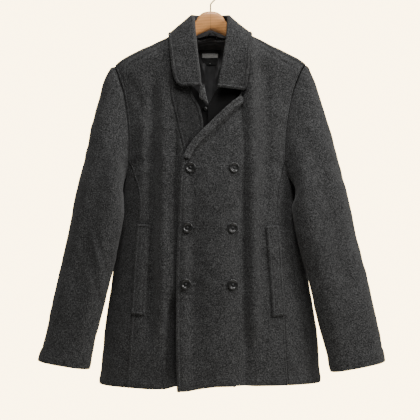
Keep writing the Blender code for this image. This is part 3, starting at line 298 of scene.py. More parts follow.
# The collar's pocket side, between its stand and its fall, section by section from the back's middle to the front
# end: neck seam (x, height), roll (x, y, height), free edge (x, height, lift off the coat). The y of a roll in
# front is measured from the coat.
COLLAR = {
    RIGHT: np.array(
        [
            (0.0000, -0.1180, 0.0000, 0.0470, -0.0680, 0.0000, -0.1600, 0.0020),
            (0.0327, -0.1243, 0.0230, 0.0435, -0.0690, 0.0400, -0.1580, 0.0020),
            (0.0520, -0.1158, 0.0335, 0.0340, -0.0712, 0.0720, -0.1475, 0.0020),
            (0.0602, -0.1080, 0.0395, 0.0200, -0.0742, 0.0875, -0.1345, 0.0020),
            (0.0625, -0.1051, 0.0415, 0.0030, -0.0775, 0.0935, -0.1205, 0.0020),
            (0.0610, -0.1200, 0.0400, -0.0300, -0.0900, 0.0930, -0.1280, 0.0040),
            (0.0555, -0.1550, 0.0370, -0.0480, -0.1270, 0.0905, -0.1560, 0.0060),
            (0.0500, -0.2000, 0.0300, -0.0600, -0.1850, 0.0850, -0.2020, 0.0065),
            (0.0475, -0.2250, 0.0225, -0.0680, -0.2430, 0.0755, -0.2420, 0.0060),
        ]
    ),
    LEFT: np.array(
        [
            (0.0000, -0.1180, 0.0000, 0.0470, -0.0680, 0.0000, -0.1600, 0.0020),
            (0.0321, -0.1240, 0.0230, 0.0435, -0.0690, 0.0400, -0.1580, 0.0020),
            (0.0511, -0.1154, 0.0335, 0.0340, -0.0712, 0.0720, -0.1475, 0.0020),
            (0.0592, -0.1075, 0.0395, 0.0200, -0.0742, 0.0865, -0.1335, 0.0020),
            (0.0615, -0.1046, 0.0415, 0.0030, -0.0775, 0.0915, -0.1195, 0.0020),
            (0.0625, -0.1200, 0.0400, -0.0300, -0.0900, 0.0915, -0.1280, 0.0040),
            (0.0645, -0.1550, 0.0370, -0.0480, -0.1270, 0.0885, -0.1580, 0.0060),
            (0.0690, -0.2000, 0.0280, -0.0620, -0.1850, 0.0850, -0.2050, 0.0070),
            (0.0710, -0.2250, 0.0165, -0.0700, -0.2460, 0.0780, -0.2500, 0.0075),
        ]
    ),
}
COLLAR_BACK_ROWS = 5
STAND_SHARE = 0.36
ROLL_SHARE = 0.10

WELT_WIDTH = 0.0265
WELTS = {RIGHT: (-0.5530, -0.7510), LEFT: (-0.5560, -0.7540)}
STRIP_WIDTH = 0.0118
# The right lapel's tip, level by level: left x and height, right x and height, y
TIP = (
    (-0.0215, -0.2400, -0.0150, -0.2400, -0.0690),
    (-0.0235, -0.2550, -0.0115, -0.2580, -0.0690),
    (-0.0245, -0.2665, -0.0075, -0.2740, -0.0675),
    (-0.0235, -0.2700, -0.0045, -0.2830, -0.0665),
)
# The dark inner layer's upper edge: x, height, and how far it lies out from (minus is in from) the coat's form
INSERT = {
    RIGHT: (
        (-0.085, -0.232, -0.0044),
        (-0.065, -0.232, -0.0044),
        (-0.045, -0.236, -0.0080),
        (-0.030, -0.250, -0.0120),
        (-0.010, -0.280, -0.0120),
        (0.008, -0.290, -0.0120),
    ),
    LEFT: (
        (-0.0056, -0.284, -0.0085),
        (0.003, -0.267, -0.0085),
        (0.012, -0.250, -0.0085),
        (0.030, -0.238, -0.0080),
        (0.060, -0.235, -0.0055),
        (0.085, -0.235, -0.0050),
        (0.100, -0.235, -0.0074),
    ),
}
INSERT_FOOT = -0.405
BUTTONS = (
    (-0.0446, -0.4252),
    (-0.0510, -0.5594),
    (-0.0545, -0.6847),
    (0.0527, -0.4260),
    (0.0485, -0.5598),
    (0.0489, -0.6854),
)
SNAP_PLACE = (-0.0112, -0.2905)
SNAP_LIFT = -0.0114

HOOK_WIRE = 0.0016
HOOK_INSIDE = 0.0175
HANGER_TOP = -0.0665
HANGER_HALF_SPAN = 0.196
HANGER_GAP = 0.0008
HANGER_END_DROP = 0.0022
HANGER_NOTCH = -0.1068
HANGER_NOTCH_SLOPE = 0.485
HANGER_CROWN = np.array(
    [
        # x, height of the top edge
        (0.000, -0.0665),
        (0.010, -0.0675),
        (0.020, -0.0708),
        (0.028, -0.0765),
        (0.034, -0.0850),
        (0.040, -0.0935),
        (0.050, -0.1025),
        (0.062, -0.1100),
        (0.075, -0.1160),
        (0.085, -0.1203),
    ]
)
LOOP_MIDDLE = 0.0035
LOOP_HALF_WIDTH = 0.0115
LOOP_FOOT = -0.1235
LOOP_HEIGHT = 0.0150
LOOP_WIRE = 0.0013


# Fine surfaces

# How deep the form's folds are here, as a share of the solids' own
FOLD_DEPTH = 1.4

# Where the back's centre seam ends and its neck begins, as a share of the panel's rows
NECK_FROM = 14 / 19

# The over front's lower corner, which stands out most
CORNER_X, CORNER_WIDTH, CORNER_LIFT = -0.071, 0.040, 0.009

# Steps beside a border, where its seam, its turned edge and its stitches lie
CLOSE_STEPS = np.array([0, 0.0005, 0.0011, 0.0018, 0.0028, 0.0040, 0.0050, 0.0060, 0.0070, 0.0085, 0.0105])
RIM_TURNS = np.array([0.2, 0.4, 0.6, 0.8]) * math.pi
SEAM_RIM = 0.05
SEAM_ROLL = 0.0016
LAP = 0.0010
FULLNESS = 0.0014
TOPSTITCH = 0.006
HEM_STITCH = 0.017
WELT_STITCH = 0.0045
CUFF_HEM = 0.030
CUFF_DROP = 0.0040
STITCH_DIP = 0.0013
THREAD = 0.0004
STITCH_RISE = 0.2
# Along a stitch, in stitch lengths, and how thick it is there
STITCH_SPINDLE = ((-0.36, 0.35), (-0.20, 1.0), (0.20, 1.0), (0.36, 0.35))
RIPPLE_WAVES = 9
SLACK_SEED, COLLAR_SEED, INSERT_SEED = 11, 23, 37
PUCKER = 0.00025
HEAD_FULLNESS = {RIGHT: 0.0065, LEFT: 0.0030}
WELT_SLOPE = 0.10
# How far the walls turn into the armhole's mitre beside it
MITRE_WIDTH = 0.012
SLEEVE_LENGTH, UPPER_WIDTH, UNDER_WIDTH = 0.69, 0.27, 0.15
SIDE_WIDTH, SIDE_LENGTH = 0.19, 0.44
FRONT_LENGTH, BACK_SIZE = 0.83, (0.19, 0.84)
STRIP_LEVELS = 1.10, 1.60
STRIP_EDGE, WELT_EDGE = 0.0006, 0.0012
STRIP_CLOTH, STRIP_STITCH, WELT_CLOTH, TIP_CLOTH, LABEL_CLOTH = 0.0045, 0.0035, 0.0032, 0.0022, 0.0008
LINING_HALF_WIDTH, LINING_FOOT, LINING_NECK = 0.070, -0.345, 0.0625
SLACK_LIMIT = 0.0009

# The borders of a grid, in the order in which from_borders gives its distances
BOTTOM, LAST, TOP, FIRST = range(4)
BORDERS = {
    "front_right": {BOTTOM: "hem", FIRST: "lapped", LAST: "seam", TOP: "seam"},
    "front_right_inner": {BOTTOM: "hem", FIRST: "lapped", LAST: "edge", TOP: "seam"},
    "front_left": {BOTTOM: "hem", FIRST: "lapped", LAST: "edge", TOP: "seam"},
    "back_right": {BOTTOM: "hem", FIRST: "seam", LAST: "lapped", TOP: "lapped"},
    "back_left": {BOTTOM: "hem", FIRST: "seam", LAST: "seam", TOP: "lapped"},
    "side_right": {BOTTOM: "hem", FIRST: "seam", LAST: "seam", TOP: "seam"},
    "side_left": {BOTTOM: "hem", FIRST: "seam", LAST: "seam", TOP: "seam"},
}

# Creases, listed one by one: x, height, half length, half width, tilt from level, depth (a ridge is positive)
FRONT_CREASES = {
    RIGHT: (
        (-0.165, -0.265, 0.060, 0.010, 1.95, -0.0018),
        (-0.140, -0.300, 0.070, 0.012, 1.80, 0.0016),
        (-0.105, -0.470, 0.090, 0.012, 1.62, -0.0014),
        (-0.085, -0.640, 0.110, 0.014, 1.50, 0.0014),
        (-0.120, -0.800, 0.080, 0.013, 1.66, 0.0016),
        (-0.155, -0.850, 0.060, 0.010, 1.48, -0.0014),
        (-0.170, -0.420, 0.045, 0.008, 0.70, -0.0014),
        (-0.165, -0.445, 0.040, 0.008, 0.55, 0.0012),
        (-0.132, -0.500, 0.260, 0.010, 1.570, -0.0030),
        (-0.107, -0.520, 0.260, 0.011, 1.570, 0.0038),
        (-0.0765, -0.650, 0.290, 0.0036, 1.572, -0.0090),
        (-0.152, -0.173, 0.045, 0.0026, 0.516, -0.0022),
        (-0.154, -0.168, 0.045, 0.0022, 0.516, 0.0012),
    ),
    LEFT: (
        (0.155, -0.250, 0.055, 0.009, 1.20, -0.0018),
        (0.125, -0.330, 0.070, 0.010, 1.45, 0.0014),
        (0.110, -0.560, 0.090, 0.012, 1.60, -0.0013),
        (0.140, -0.660, 0.070, 0.012, 1.52, 0.0014),
        (0.105, -0.800, 0.085, 0.013, 1.50, -0.0016),
        (0.145, -0.860, 0.050, 0.010, 1.62, 0.0014),
        (0.010, -0.560, 0.110, 0.018, 1.55, 0.0018),
        (-0.030, -0.760, 0.100, 0.014, 1.60, -0.0015),
        (0.158, -0.425, 0.045, 0.008, 2.45, -0.0014),
        (0.152, -0.452, 0.040, 0.008, 2.60, 0.0012),
        (0.074, -0.335, 0.090, 0.014, 1.52, 0.0050),
        (0.030, -0.345, 0.075, 0.016, 0.85, -0.0030),
        (0.0225, -0.333, 0.055, 0.0055, 0.87, -0.0050),
        (-0.058, -0.640, 0.260, 0.010, 1.575, 0.0026),
        (-0.041, -0.620, 0.260, 0.009, 1.575, -0.0032),
        (-0.006, -0.600, 0.260, 0.017, 1.575, 0.0034),
        (0.034, -0.560, 0.300, 0.018, 1.575, 0.0030),
        (0.150, -0.173, 0.045, 0.0026, 2.626, -0.0022),
        (0.152, -0.168, 0.045, 0.0022, 2.626, 0.0012),
    ),
}
BACK_CREASES = {
    RIGHT: (
        (-0.150, -0.270, 0.070, 0.011, 1.90, -0.0018),
        (-0.110, -0.420, 0.090, 0.013, 1.66, 0.0016),
        (-0.045, -0.560, 0.110, 0.014, 1.52, 0.0014),
        (-0.090, -0.700, 0.100, 0.013, 1.60, -0.0016),
        (-0.150, -0.800, 0.080, 0.012, 1.45, 0.0015),
        (-0.165, -0.430, 0.045, 0.008, 0.80, -0.0013),
    ),
    LEFT: (
        (0.145, -0.280, 0.065, 0.011, 1.25, -0.0017),
        (0.100, -0.440, 0.100, 0.013, 1.50, 0.0016),
        (0.060, -0.620, 0.100, 0.014, 1.62, -0.0015),
        (0.120, -0.730, 0.090, 0.012, 1.55, 0.0015),
        (0.155, -0.840, 0.070, 0.012, 1.66, -0.0014),
        (0.162, -0.435, 0.045, 0.008, 2.35, -0.0013),
    ),
}
# On the sleeves: angle round the sleeve, way down it, half length, half width, tilt, depth
SLEEVE_CREASES = {
    RIGHT: (
        (0.90, 0.245, 0.55, 0.011, 0.010, -0.0020),
        (1.10, 0.275, 0.60, 0.012, -0.012, 0.0022),
        (0.80, 0.310, 0.45, 0.010, 0.014, -0.0018),
        (1.60, 0.350, 0.50, 0.013, 0.016, 0.0016),
        (2.20, 0.420, 0.50, 0.014, -0.010, -0.0014),
        (4.60, 0.260, 0.60, 0.012, 0.010, -0.0020),
        (4.90, 0.300, 0.60, 0.012, -0.010, 0.0020),
        (1.30, 0.560, 0.55, 0.015, 0.012, -0.0014),
        (2.80, 0.150, 0.45, 0.015, 0.010, 0.0012),
    ),
    LEFT: (
        (1.00, 0.235, 0.55, 0.011, -0.010, -0.0020),
        (1.20, 0.268, 0.60, 0.012, 0.012, 0.0020),
        (0.75, 0.300, 0.45, 0.010, 0.010, -0.0018),
        (1.75, 0.340, 0.50, 0.013, -0.014, 0.0017),
        (2.35, 0.400, 0.50, 0.014, 0.012, -0.0014),
        (4.70, 0.255, 0.60, 0.012, -0.010, -0.0020),
        (4.80, 0.292, 0.60, 0.012, 0.012, 0.0020),
        (1.20, 0.540, 0.55, 0.015, -0.012, -0.0014),
        (2.60, 0.170, 0.45, 0.015, 0.012, 0.0012),
    ),
}
LINING_CREASES = (
    (-0.045, -0.205, 0.060, 0.004, 1.40, -0.0045),
    (-0.028, -0.160, 0.045, 0.004, 1.85, -0.0040),
    (-0.012, -0.240, 0.060, 0.005, 1.60, -0.0050),
    (0.014, -0.215, 0.050, 0.004, 1.45, -0.0040),
    (0.030, -0.175, 0.050, 0.005, 1.20, -0.0045),
    (0.045, -0.230, 0.060, 0.005, 1.70, -0.0040),
    (0.000, -0.132, 0.030, 0.003, 0.10, -0.0020),
)

# Corner rounding of the collar's two ends: in stations along it, and in shares across it
COLLAR_CORNER = {RIGHT: (0.45, 0.16), LEFT: (0.16, 0.06)}
COLLAR_RISE = 0.003
COLLAR_LENGTH, COLLAR_DEPTH = 0.62, 0.125
COLLAR_NECK_SHARE = 0.02
# Where the stand is lined: behind this y and below this height
STAND_BEHIND, STAND_BELOW = 0.008, -0.080
LABEL_BOX = ((-0.0245, -0.1837), (0.0222, -0.1486))

BUTTON_TURNING = (
    # radius, height
    (0, 0.0022),
    (0.0030, 0.0021),
    (0.0056, 0.0021),
    (0.0064, 0.0023),
    (0.0072, 0.0031),
    (0.0080, 0.0039),
    (0.0090, 0.0044),
    (0.0100, 0.0045),
    (0.0108, 0.0043),
    (0.0114, 0.0038),
    (0.0118, 0.0032),
    (0.0119, 0.0026),
    (0.0117, 0.0016),
    (0.0112, 0.0008),
    (0.0102, 0.0002),
    (0.0090, 0),
    (0, 0),
)
BUTTON_DISH = 0.0021
BUTTON_SHANK = 0.0011
BUTTON_HOLES = 0.0026
# A button hole's dark disc, painted shade that stands in for the hole: radius, height
HOLE_TURNING = ((0, 0.0004), (0.00115, 0.0004), (0.00125, -0.0004), (0, -0.0004))
BUTTON_THREAD, THREAD_ARCH = 0.00055, 0.0011
SNAP_TURNING = (
    (0, 0.0017),
    (0.0012, 0.0017),
    (0.0019, 0.0015),
    (0.0023, 0.0011),
    (0.0028, 0.0009),
    (0.0036, 0.0010),
    (0.0043, 0.0008),
    (0.0045, 0.0004),
    (0.0044, 0),
    (0, 0),
)
DOME_RISE = 0.0030
STEM_TOP = -0.050
HOLE_SHIFT, HOLE_LENGTH, HOLE_WIDTH = 0.011, 0.022, 0.0022

# Studio: lights as name, place, aim, size, power and colour
CAMERA = (-0.0012, -2.7, -0.5204)
LENS = 100.6
FLOOR, FLOOR_RADIUS = -1.45, 1.5
LIGHTS = (
    ("Key", (2.15, -1.25, 1.10), (0.0, 0.0, -0.45), 1.2, 66.0, (1.0, 0.985, 0.97)),
    ("Top", (0.1, -1.15, 1.90), (0.0, 0.0, -0.45), 0.9, 46.0, (1.0, 0.99, 0.98)),
    ("Fill", (-2.4, -1.6, 0.0), (0.0, 0.0, -0.5), 1.6, 4.0, (0.95, 0.97, 1.0)),
    ("Back", (0.8, 2.3, -0.2), (0.0, 0.0, -0.50), 1.6, 44.0, (1.0, 0.99, 0.97)),
)
# The surroundings' light, and the bright paper that is seen behind the coat
AMBIENT = 0.10
PAPER = (9.6, 7.6, 4.3)


def smooth(at, stations, values):
    """Reads a table's column at any place, as a cubic through its rows."""
    at = np.asarray(at, float)
    slopes = np.gradient(values, stations)
    row = np.clip(np.searchsorted(stations, at) - 1, 0, len(stations) - 2)
    step = stations[row + 1] - stations[row]
    t = np.clip((at - stations[row]) / step, 0, 1)
    rise = values[row + 1] - values[row]
    start, end = slopes[row] * step, slopes[row + 1] * step
    return values[row] + t * (start + t * (3 * rise - 2 * start - end + t * (start + end - 2 * rise)))


def stacked(*parts):
    """Grids of single numbers as one grid of points."""
    return np.stack(parts, axis=-1)


def read_column(table, number, at):
    """One of a table's columns, at any place of its first column."""
    return smooth(at, table[:, 0], table[:, number])


def smooth_line(at, line):
    """Reads a line of points, one to each whole number, at any place."""
    stations = np.arange(len(line), dtype=float)
    return np.stack([smooth(at, stations, line[:, axis]) for axis in range(line.shape[1])], axis=-1)


def unit(vectors):
    """The same directions with length 1."""
    return vectors / np.linalg.norm(vectors, axis=-1, keepdims=True)


def ease(low, high, at):
    """0 below low, 1 above high, and smooth between."""
    t = np.clip((at - low) / (high - low), 0, 1)
    return t * t * (3 - 2 * t)


def shoulder(x):
    """Height of the shoulder line: straight, and bending down towards the sleeve."""
    out = np.abs(x)
    return SHOULDER_TOP - SHOULDER_SLOPE * out - SHOULDER_BEND * np.maximum(out - SHOULDER_BEND_FROM, 0) ** 2


def path_to(x, z):
    """Length down the cloth from the shoulder line to a height."""
    drop = np.maximum(shoulder(x) - z, 0)
    return np.where(
        drop < CREST_RADIUS,
        CREST_RADIUS * np.arccos(1 - np.clip(drop / CREST_RADIUS, 0, 1)),
        drop - CREST_RADIUS + QUARTER,
    )


def half_width(z, side):
    """The form's half width at a height, on one side or on each point's own."""
    right = read_column(FORM, 1, z)
    left = read_column(FORM, 2, z)
    return np.where(np.asarray(side) < 0, right, left)


def fold_depth(x, z, facing, side):
    total = np.zeros(np.broadcast(x, z).shape)
    for centre, width, depth, top, bottom, drift in FOLDS[facing, side]:
        middle = centre + drift * np.clip((top - z) / (top - bottom), 0, 1)
        length = ease(bottom - 0.04, bottom + 0.04, z) * (1 - ease(top - 0.05, top + 0.03, z))
        total = total + FOLD_DEPTH * depth * length * np.exp(-(((x - middle) / width) ** 2))
    return total


def form_point(x, z, path, facing, side):
    """The form's point: depth times the ring's roundness, times the rounding over the shoulder, and the folds."""
    ratio = np.clip(np.abs(x) / half_width(z, np.sign(x)), 0, 1)
    round_ring = np.sqrt(1 - ratio**RING_POWER)
    turn = np.sin(np.clip(path / CREST_RADIUS, -math.pi / 2, math.pi / 2))
    front = read_column(FORM, 3, z)
    back = read_column(FORM, 4, z)
    depth = np.where(facing * turn < 0, front, back)
    crease = fold_depth(x, z, facing, side) * np.maximum(turn, 0)
    y = read_column(FORM, 5, z) + facing * (depth * turn + crease) * round_ring
    return stacked(x + 0 * y, y, z + 0 * y)


def sheet(x, path, facing, side):
    """Front or back of the form, from x and the length down the cloth. A negative length is over the shoulder."""
    length = np.abs(path)
    drop = np.where(
        length < QUARTER,
        CREST_RADIUS * (1 - np.cos(length / CREST_RADIUS)),
        length - QUARTER + CREST_RADIUS,
    )
    return form_point(x, shoulder(x) - drop, path, facing, side)


def ring(turn, z, side):
    """Side of the form: turn is the angle round it from the front's middle, in radians."""
    x = side * half_width(z, side) * np.abs(np.sin(turn)) ** (2 / RING_POWER)
    facing = np.where(np.cos(turn) > 0, FRONT, BACK)
    front = form_point(x, z, path_to(x, z), FRONT, side)
    back = form_point(x, z, path_to(x, z), BACK, side)
    return np.where((facing == FRONT)[..., None], front, back)


def normals(surface, a, b, outward):
    """Unit normals of a surface, from small steps in its two parameters."""
    step = 1e-4
    along_a = surface(a + step, b) - surface(a - step, b)
    along_b = surface(a, b + step) - surface(a, b - step)
    normal = unit(np.cross(along_a, along_b))
    return normal * np.where((normal * outward).sum(-1) < 0, -1, 1)[..., None]


def way_out(path, facing):
    """Roughly the way out of the front or back: level down the coat, and turning over the shoulder."""
    turn = np.clip(np.asarray(path, float) / CREST_RADIUS, -math.pi / 2, math.pi / 2)
    return stacked(0 * turn, facing * np.sin(turn), 0.2 + np.cos(turn))


def front_normals(x, z, side):
    """Unit normals of a front's form at places given by x and height."""
    return normals(lambda a, b: sheet(a, b, FRONT, side), x, path_to(x, z), np.array([0, FRONT, 0.2]))


def lining_wall(x, path, facing, side, lift, thickness):
    """A thin wall inside the form: its outer face, and the directions away from its inner face."""
    outer = lifted(x, path, facing, side, lift)
    return outer, unit(outer - lifted(x, path, facing, side, lift - thickness))


def lifted(x, path, facing, side, lift):
    """Points of the front or back, moved out along the normal."""
    x, path, lift = np.broadcast_arrays(np.asarray(x, float), np.asarray(path, float), np.asarray(lift, float))
    outward = way_out(path, facing)
    normal = normals(lambda a, b: sheet(a, b, facing, side), x, path, outward)
    return sheet(x, path, facing, side) + normal * lift[..., None]


def armhole(angle, side):
    """A point of the armhole and its (x, length down the cloth): a loop from the underarm up the front, and back."""
    share = (1 - np.cos(angle)) / 2
    in_front = np.sin(angle) >= 0
    right, left = 1 + (side > 0), 3 + (side > 0)
    out = np.where(
        in_front, read_column(ARMHOLE, right, share), read_column(ARMHOLE, left, share)
    )
    top = shoulder(ARMHOLE_TOP[side])
    z = UNDERARM_HEIGHT + (top - UNDERARM_HEIGHT) * share
    x = side * out
    path = path_to(x, z)
    front = form_point(x, z, path, FRONT, side)
    back = form_point(x, z, path, BACK, side)
    return np.where(in_front[..., None], front, back), x, path, in_front


def sleeve_tube(angle, share, side):
    """The plain sleeve: at each share of its length, a flattened ring from its inner to its outer point."""
    table = SLEEVE[side]
    outer_x, outer_z, inner_x, inner_z, inner_y, outer_y, front, back, bow = (
        read_column(table, number, share) for number in range(1, 10)
    )
    across = (1 - np.cos(angle)) / 2
    wave = np.sin(angle)
    crease = np.zeros(np.broadcast(angle, share).shape)
    for centre, width, depth, start, end in SLEEVE_FOLDS:
        length = ease(start - 0.08, start + 0.08, share) * (1 - ease(end - 0.08, end + 0.08, share))
        away = (angle - centre + math.pi) % (2 * math.pi) - math.pi
        crease = crease + depth * length * np.exp(-((away / width) ** 2))
    depth = np.where(wave > 0, front, back) + crease
    x = inner_x + (outer_x - inner_x) * across - bow * wave**2
    z = inner_z + (outer_z - inner_z) * across
    y = inner_y + (outer_y - inner_y) * across - depth * np.sign(wave) * np.abs(wave) ** 0.85
    return stacked(side * x, y, z)


def sleeve(angle, share, side):
    """The sleeve's tube, drawn to the armhole over its head."""
    angle, share = np.broadcast_arrays(np.asarray(angle, float), np.asarray(share, float))
    pull = (np.clip(1 - share / SLEEVE_HEAD, 0, 1) ** 2)[..., None]
    seam = armhole(angle, side)[0]
    return sleeve_tube(angle, share, side) + (seam - sleeve_tube(angle, 0 * share, side)) * pull


def sleeve_normals(angle, share, side):
    """Unit normals of a sleeve, away from its middle line."""
    angle, share = np.broadcast_arrays(np.asarray(angle, float), np.asarray(share, float))
    inside = (sleeve(0 * angle, share, side) + sleeve(0 * angle + math.pi, share, side)) / 2
    return normals(lambda a, b: sleeve(a, b, side), angle, share, sleeve(angle, share, side) - inside)


def armhole_normals(angle, side):
    """The direction half way between the body's and the sleeve's normals, in which both walls end at the armhole."""
    point, x, path, in_front = armhole(angle, side)
    inward = side * -0.0008
    facing = np.where(in_front, FRONT, BACK)
    near = np.abs(x) < 0.985 * half_width(point[..., 2], side)
    body = np.zeros(point.shape)
    for each in (FRONT, BACK):
        outward = stacked(side * 0.3 + 0 * x, each + 0 * x, 0.4 + 0 * x)
        found = normals(lambda a, b: sheet(a, b, each, side), x + inward, np.maximum(path, 0.002), outward)
        body = np.where((facing == each)[..., None], found, body)
    body = np.where(near[..., None], body, np.array([side, 0.0, 0.0]))
    return unit(body + sleeve_normals(angle, 0.01, side))


def hem_height(x, facing, side):
    """Height of a front's or back's lower edge."""
    line = np.array(HEM[facing, side])
    return np.interp(x, line[:, 0], line[:, 1])


def line_up(table, level, gap=0.0):
    """A border line up a front, at the given levels, as (x, length down the cloth)."""
    x = read_column(table, 1, level) + gap
    return stacked(x, path_to(x, read_column(table, 2, level)))


def seam_heights(levels, facing, side):
    """Side seam's x and height at levels from 0, the hem, to 1, the armhole."""
    angle = SIDE_SEAM_ANGLE if facing == FRONT else BACK_SEAM_ANGLE
    foot = armhole(np.array([angle]), side)[0][0]
    column = (1 if facing == FRONT else 3) + (side > 0)
    heights = np.append(SIDE_SEAMS[:, 0], foot[2])
    places = np.append(SIDE_SEAMS[:, column], abs(foot[0]))
    hem = hem_height(side * places[0], facing, side)
    z = hem + (foot[2] - hem) * levels
    return side * smooth(z, heights, places), z


def over_lift(x, z):
    """How far the over front stands out: over the under front, and more at the hem's corner."""
    corner = CORNER_LIFT * (1 - ease(-0.90, -0.70, z)) * np.exp(-(((x - CORNER_X) / CORNER_WIDTH) ** 2))
    return OVERLAP_LIFT * (1 - ease(0.060, 0.130, x)) + corner


# Borders and patches


def side_line(t, facing, side):
    """A front's or back's outer border, for t from 0 to 1: half way up the side seam, then round the armhole."""
    level = 2 * np.asarray(t, float)
    x, z = seam_heights(np.minimum(level, 1), facing, side)
    seam = stacked(x - side * GAP / 2, path_to(x, z))
    start = SIDE_SEAM_ANGLE if facing == FRONT else BACK_SEAM_ANGLE
    angle = start + (SHOULDER_SEAM_ANGLE - start) * np.clip(level - 1, 0, 1)
    _, x, path, in_front = armhole(angle, side)
    sign = np.where(in_front == (facing == FRONT), 1, -1)
    return np.where((level <= 1)[..., None], seam, stacked(x, sign * path))


def patch(first, last, bottom, top, t, s):
    """Four border lines filled in: the blend across plus the blend up, less the blend of the four corners."""
    t, s = np.broadcast_arrays(np.asarray(t, float), np.asarray(s, float))
    up, over = t[..., None], s[..., None]
    across = (1 - over) * first(t) + over * last(t)
    upward = (1 - up) * bottom(s) + up * top(s)
    low = (1 - over) * first(np.array(0.0)) + over * last(np.array(0.0))
    high = (1 - over) * first(np.array(1.0)) + over * last(np.array(1.0))
    return across + upward - (1 - up) * low - up * high


def front_patch(first, last, side):
    """A front panel's (x, length down the cloth), from its two upright border lines."""

    def bottom(s):
        x = first(np.array(0.0))[0] * (1 - s) + last(np.array(0.0))[0] * s
        return stacked(x, path_to(x, hem_height(x, FRONT, side)))

    def top(s):
        x = first(np.array(1.0))[0] * (1 - s) + last(np.array(1.0))[0] * s
        return stacked(x, 0 * x + SEAM_PATH)

    return lambda t, s: patch(first, last, bottom, top, t, s)


def back_patch(side):
    """A back panel's (x, length down the cloth). Its inner border is the centre seam, then the neck."""
    middle = float(path_to(0.0, SHOULDER_TOP - BACK_NECK_DROP))
    hem = float(path_to(0.0, hem_height(0.0, BACK, side)))

    def centre(t):
        turn = np.clip((t - NECK_FROM) / (1 - NECK_FROM), 0, 1)
        round_neck = np.minimum(turn / 0.8, 1) * math.pi / 2
        x = NECK_POINT[side] * np.sin(round_neck)
        curve = middle * np.cos(round_neck) - SEAM_PATH * np.clip((turn - 0.8) / 0.2, 0, 1)
        straight = hem + (middle - hem) * t / NECK_FROM
        x = np.where(t < NECK_FROM, GAP / 2, np.maximum(x, GAP / 2))
        return stacked(side * x, np.where(t < NECK_FROM, straight, curve))

    def bottom(s):
        x = side_line(np.array(0.0), BACK, side)[0] * (1 - s) + side * GAP / 2 * s
        return stacked(x, path_to(x, hem_height(x, BACK, side)))

    def top(s):
        x = side_line(np.array(1.0), BACK, side)[0] * (1 - s) + side * NECK_POINT[side] * s
        return stacked(x, 0 * x - SEAM_PATH)

    return lambda t, s: patch(lambda t: side_line(t, BACK, side), centre, bottom, top, t, s)


def side_patch(side):
    """A side panel's (turn round the form, height), between its front and back seams and the underarm."""

    def seam(t, facing):
        x, z = seam_heights(t, facing, side)
        x = x + side * GAP / 2
        turn = np.arcsin((np.abs(x) / half_width(z, side)) ** (RING_POWER / 2))
        return stacked(turn if facing == FRONT else math.pi - turn, z)

    def top(s):
        angle = SIDE_SEAM_ANGLE + (BACK_SEAM_ANGLE - 2 * math.pi - SIDE_SEAM_ANGLE) * s
        point, x, _, in_front = armhole(angle, side)
        turn = np.arcsin(np.clip(np.abs(x) / half_width(point[..., 2], side), 0, 1) ** (RING_POWER / 2))
        return np.stack([np.where(in_front, turn, math.pi - turn), point[..., 2] - 2 * GAP], axis=-1)

    def bottom(s):
        start, end = seam(np.array(0.0), FRONT), seam(np.array(0.0), BACK)
        return start + (end - start) * s[..., None]

    return lambda t, s: patch(lambda t: seam(t, FRONT), lambda t: seam(t, BACK), bottom, top, t, s)


# Relief: what the fine surfaces have on top of the form


def ripple(points, seed, wave, height):
    """Unevenness of the cloth: a sum of plane waves of about one length, in drawn directions and phases."""
    draw = np.random.default_rng(seed)
    total = 0
    for _ in range(RIPPLE_WAVES):
        heading = draw.normal(size=3)
        number = 2 * math.pi / (wave * draw.uniform(0.7, 1.5))
        total = total + np.sin(points @ (heading / np.linalg.norm(heading)) * number + draw.uniform(0, 2 * math.pi))
    return height * total / math.sqrt(RIPPLE_WAVES)


def uneven(points, seed):
    """Slack and small lumps of pressed wool together."""
    return ripple(points, seed, 0.13, 0.0011) + ripple(points, seed + 1, 0.035, 0.00035)


def creases(a, b, table):
    """Creases listed one by one, each a bell across its own line and flat along it: place, length, width, tilt,
    depth.
    """
    total = np.zeros(np.broadcast(a, b).shape)
    for at_a, at_b, length, width, tilt, depth in table:
        along = (a - at_a) * math.cos(tilt) + (b - at_b) * math.sin(tilt)
        across = (b - at_b) * math.cos(tilt) - (a - at_a) * math.sin(tilt)
        total = total + depth * np.exp(-((across / width) ** 2) - (along / length) ** 4)
    return total


def sewn(distance, lap=0.0, stitch=0.0):
    """A seamed edge: it rolls down into the seam, stands up over its lap, and dips under a row of topstitching."""
    roll = -SEAM_ROLL * np.exp(-((distance / 0.0011) ** 2))
    raised = lap * (1 - ease(TOPSTITCH - 0.0005, TOPSTITCH + 0.0025, distance))
    dip = -STITCH_DIP * np.exp(-(((distance - stitch) / 0.0011) ** 2)) if stitch else 0.0
    return roll + raised + dip


def folded(distance, stitch):
    """A turned edge: fuller inside its row of topstitching, which dips."""
    full = FULLNESS * np.exp(-(((distance - stitch / 2) / (stitch / 2)) ** 2))
    return full - STITCH_DIP * np.exp(-(((distance - stitch) / 0.0012) ** 2))


def spaced(length, step):
    """Shares of a length from 0 to 1, one step apart and closer beside its ends."""
    start, end = CLOSE_STEPS, length - CLOSE_STEPS[::-1]
    count = max(int(round((end[0] - start[-1]) / step)), 1)
    middle = np.linspace(start[-1], end[0], count + 1)[1:-1]
    return np.concatenate([start, middle, end]) / length


# Meshes


def round_angles(count):
    """Angles once round, with the last one before the full turn."""
    return np.linspace(0, 2 * math.pi, count + 1)[:-1]


def wrapped(number):
    """A grid's numbers closed round, with the first column again after the last."""
    return np.concatenate([number, number[:, :1]], axis=1)


def quads(number):
    """The four-sided faces between neighbours of a grid's numbers."""
    cells = [number[:-1, :-1], number[:-1, 1:], number[1:, 1:], number[1:, :-1]]
    return np.stack(cells, axis=-1).reshape(-1, 4)


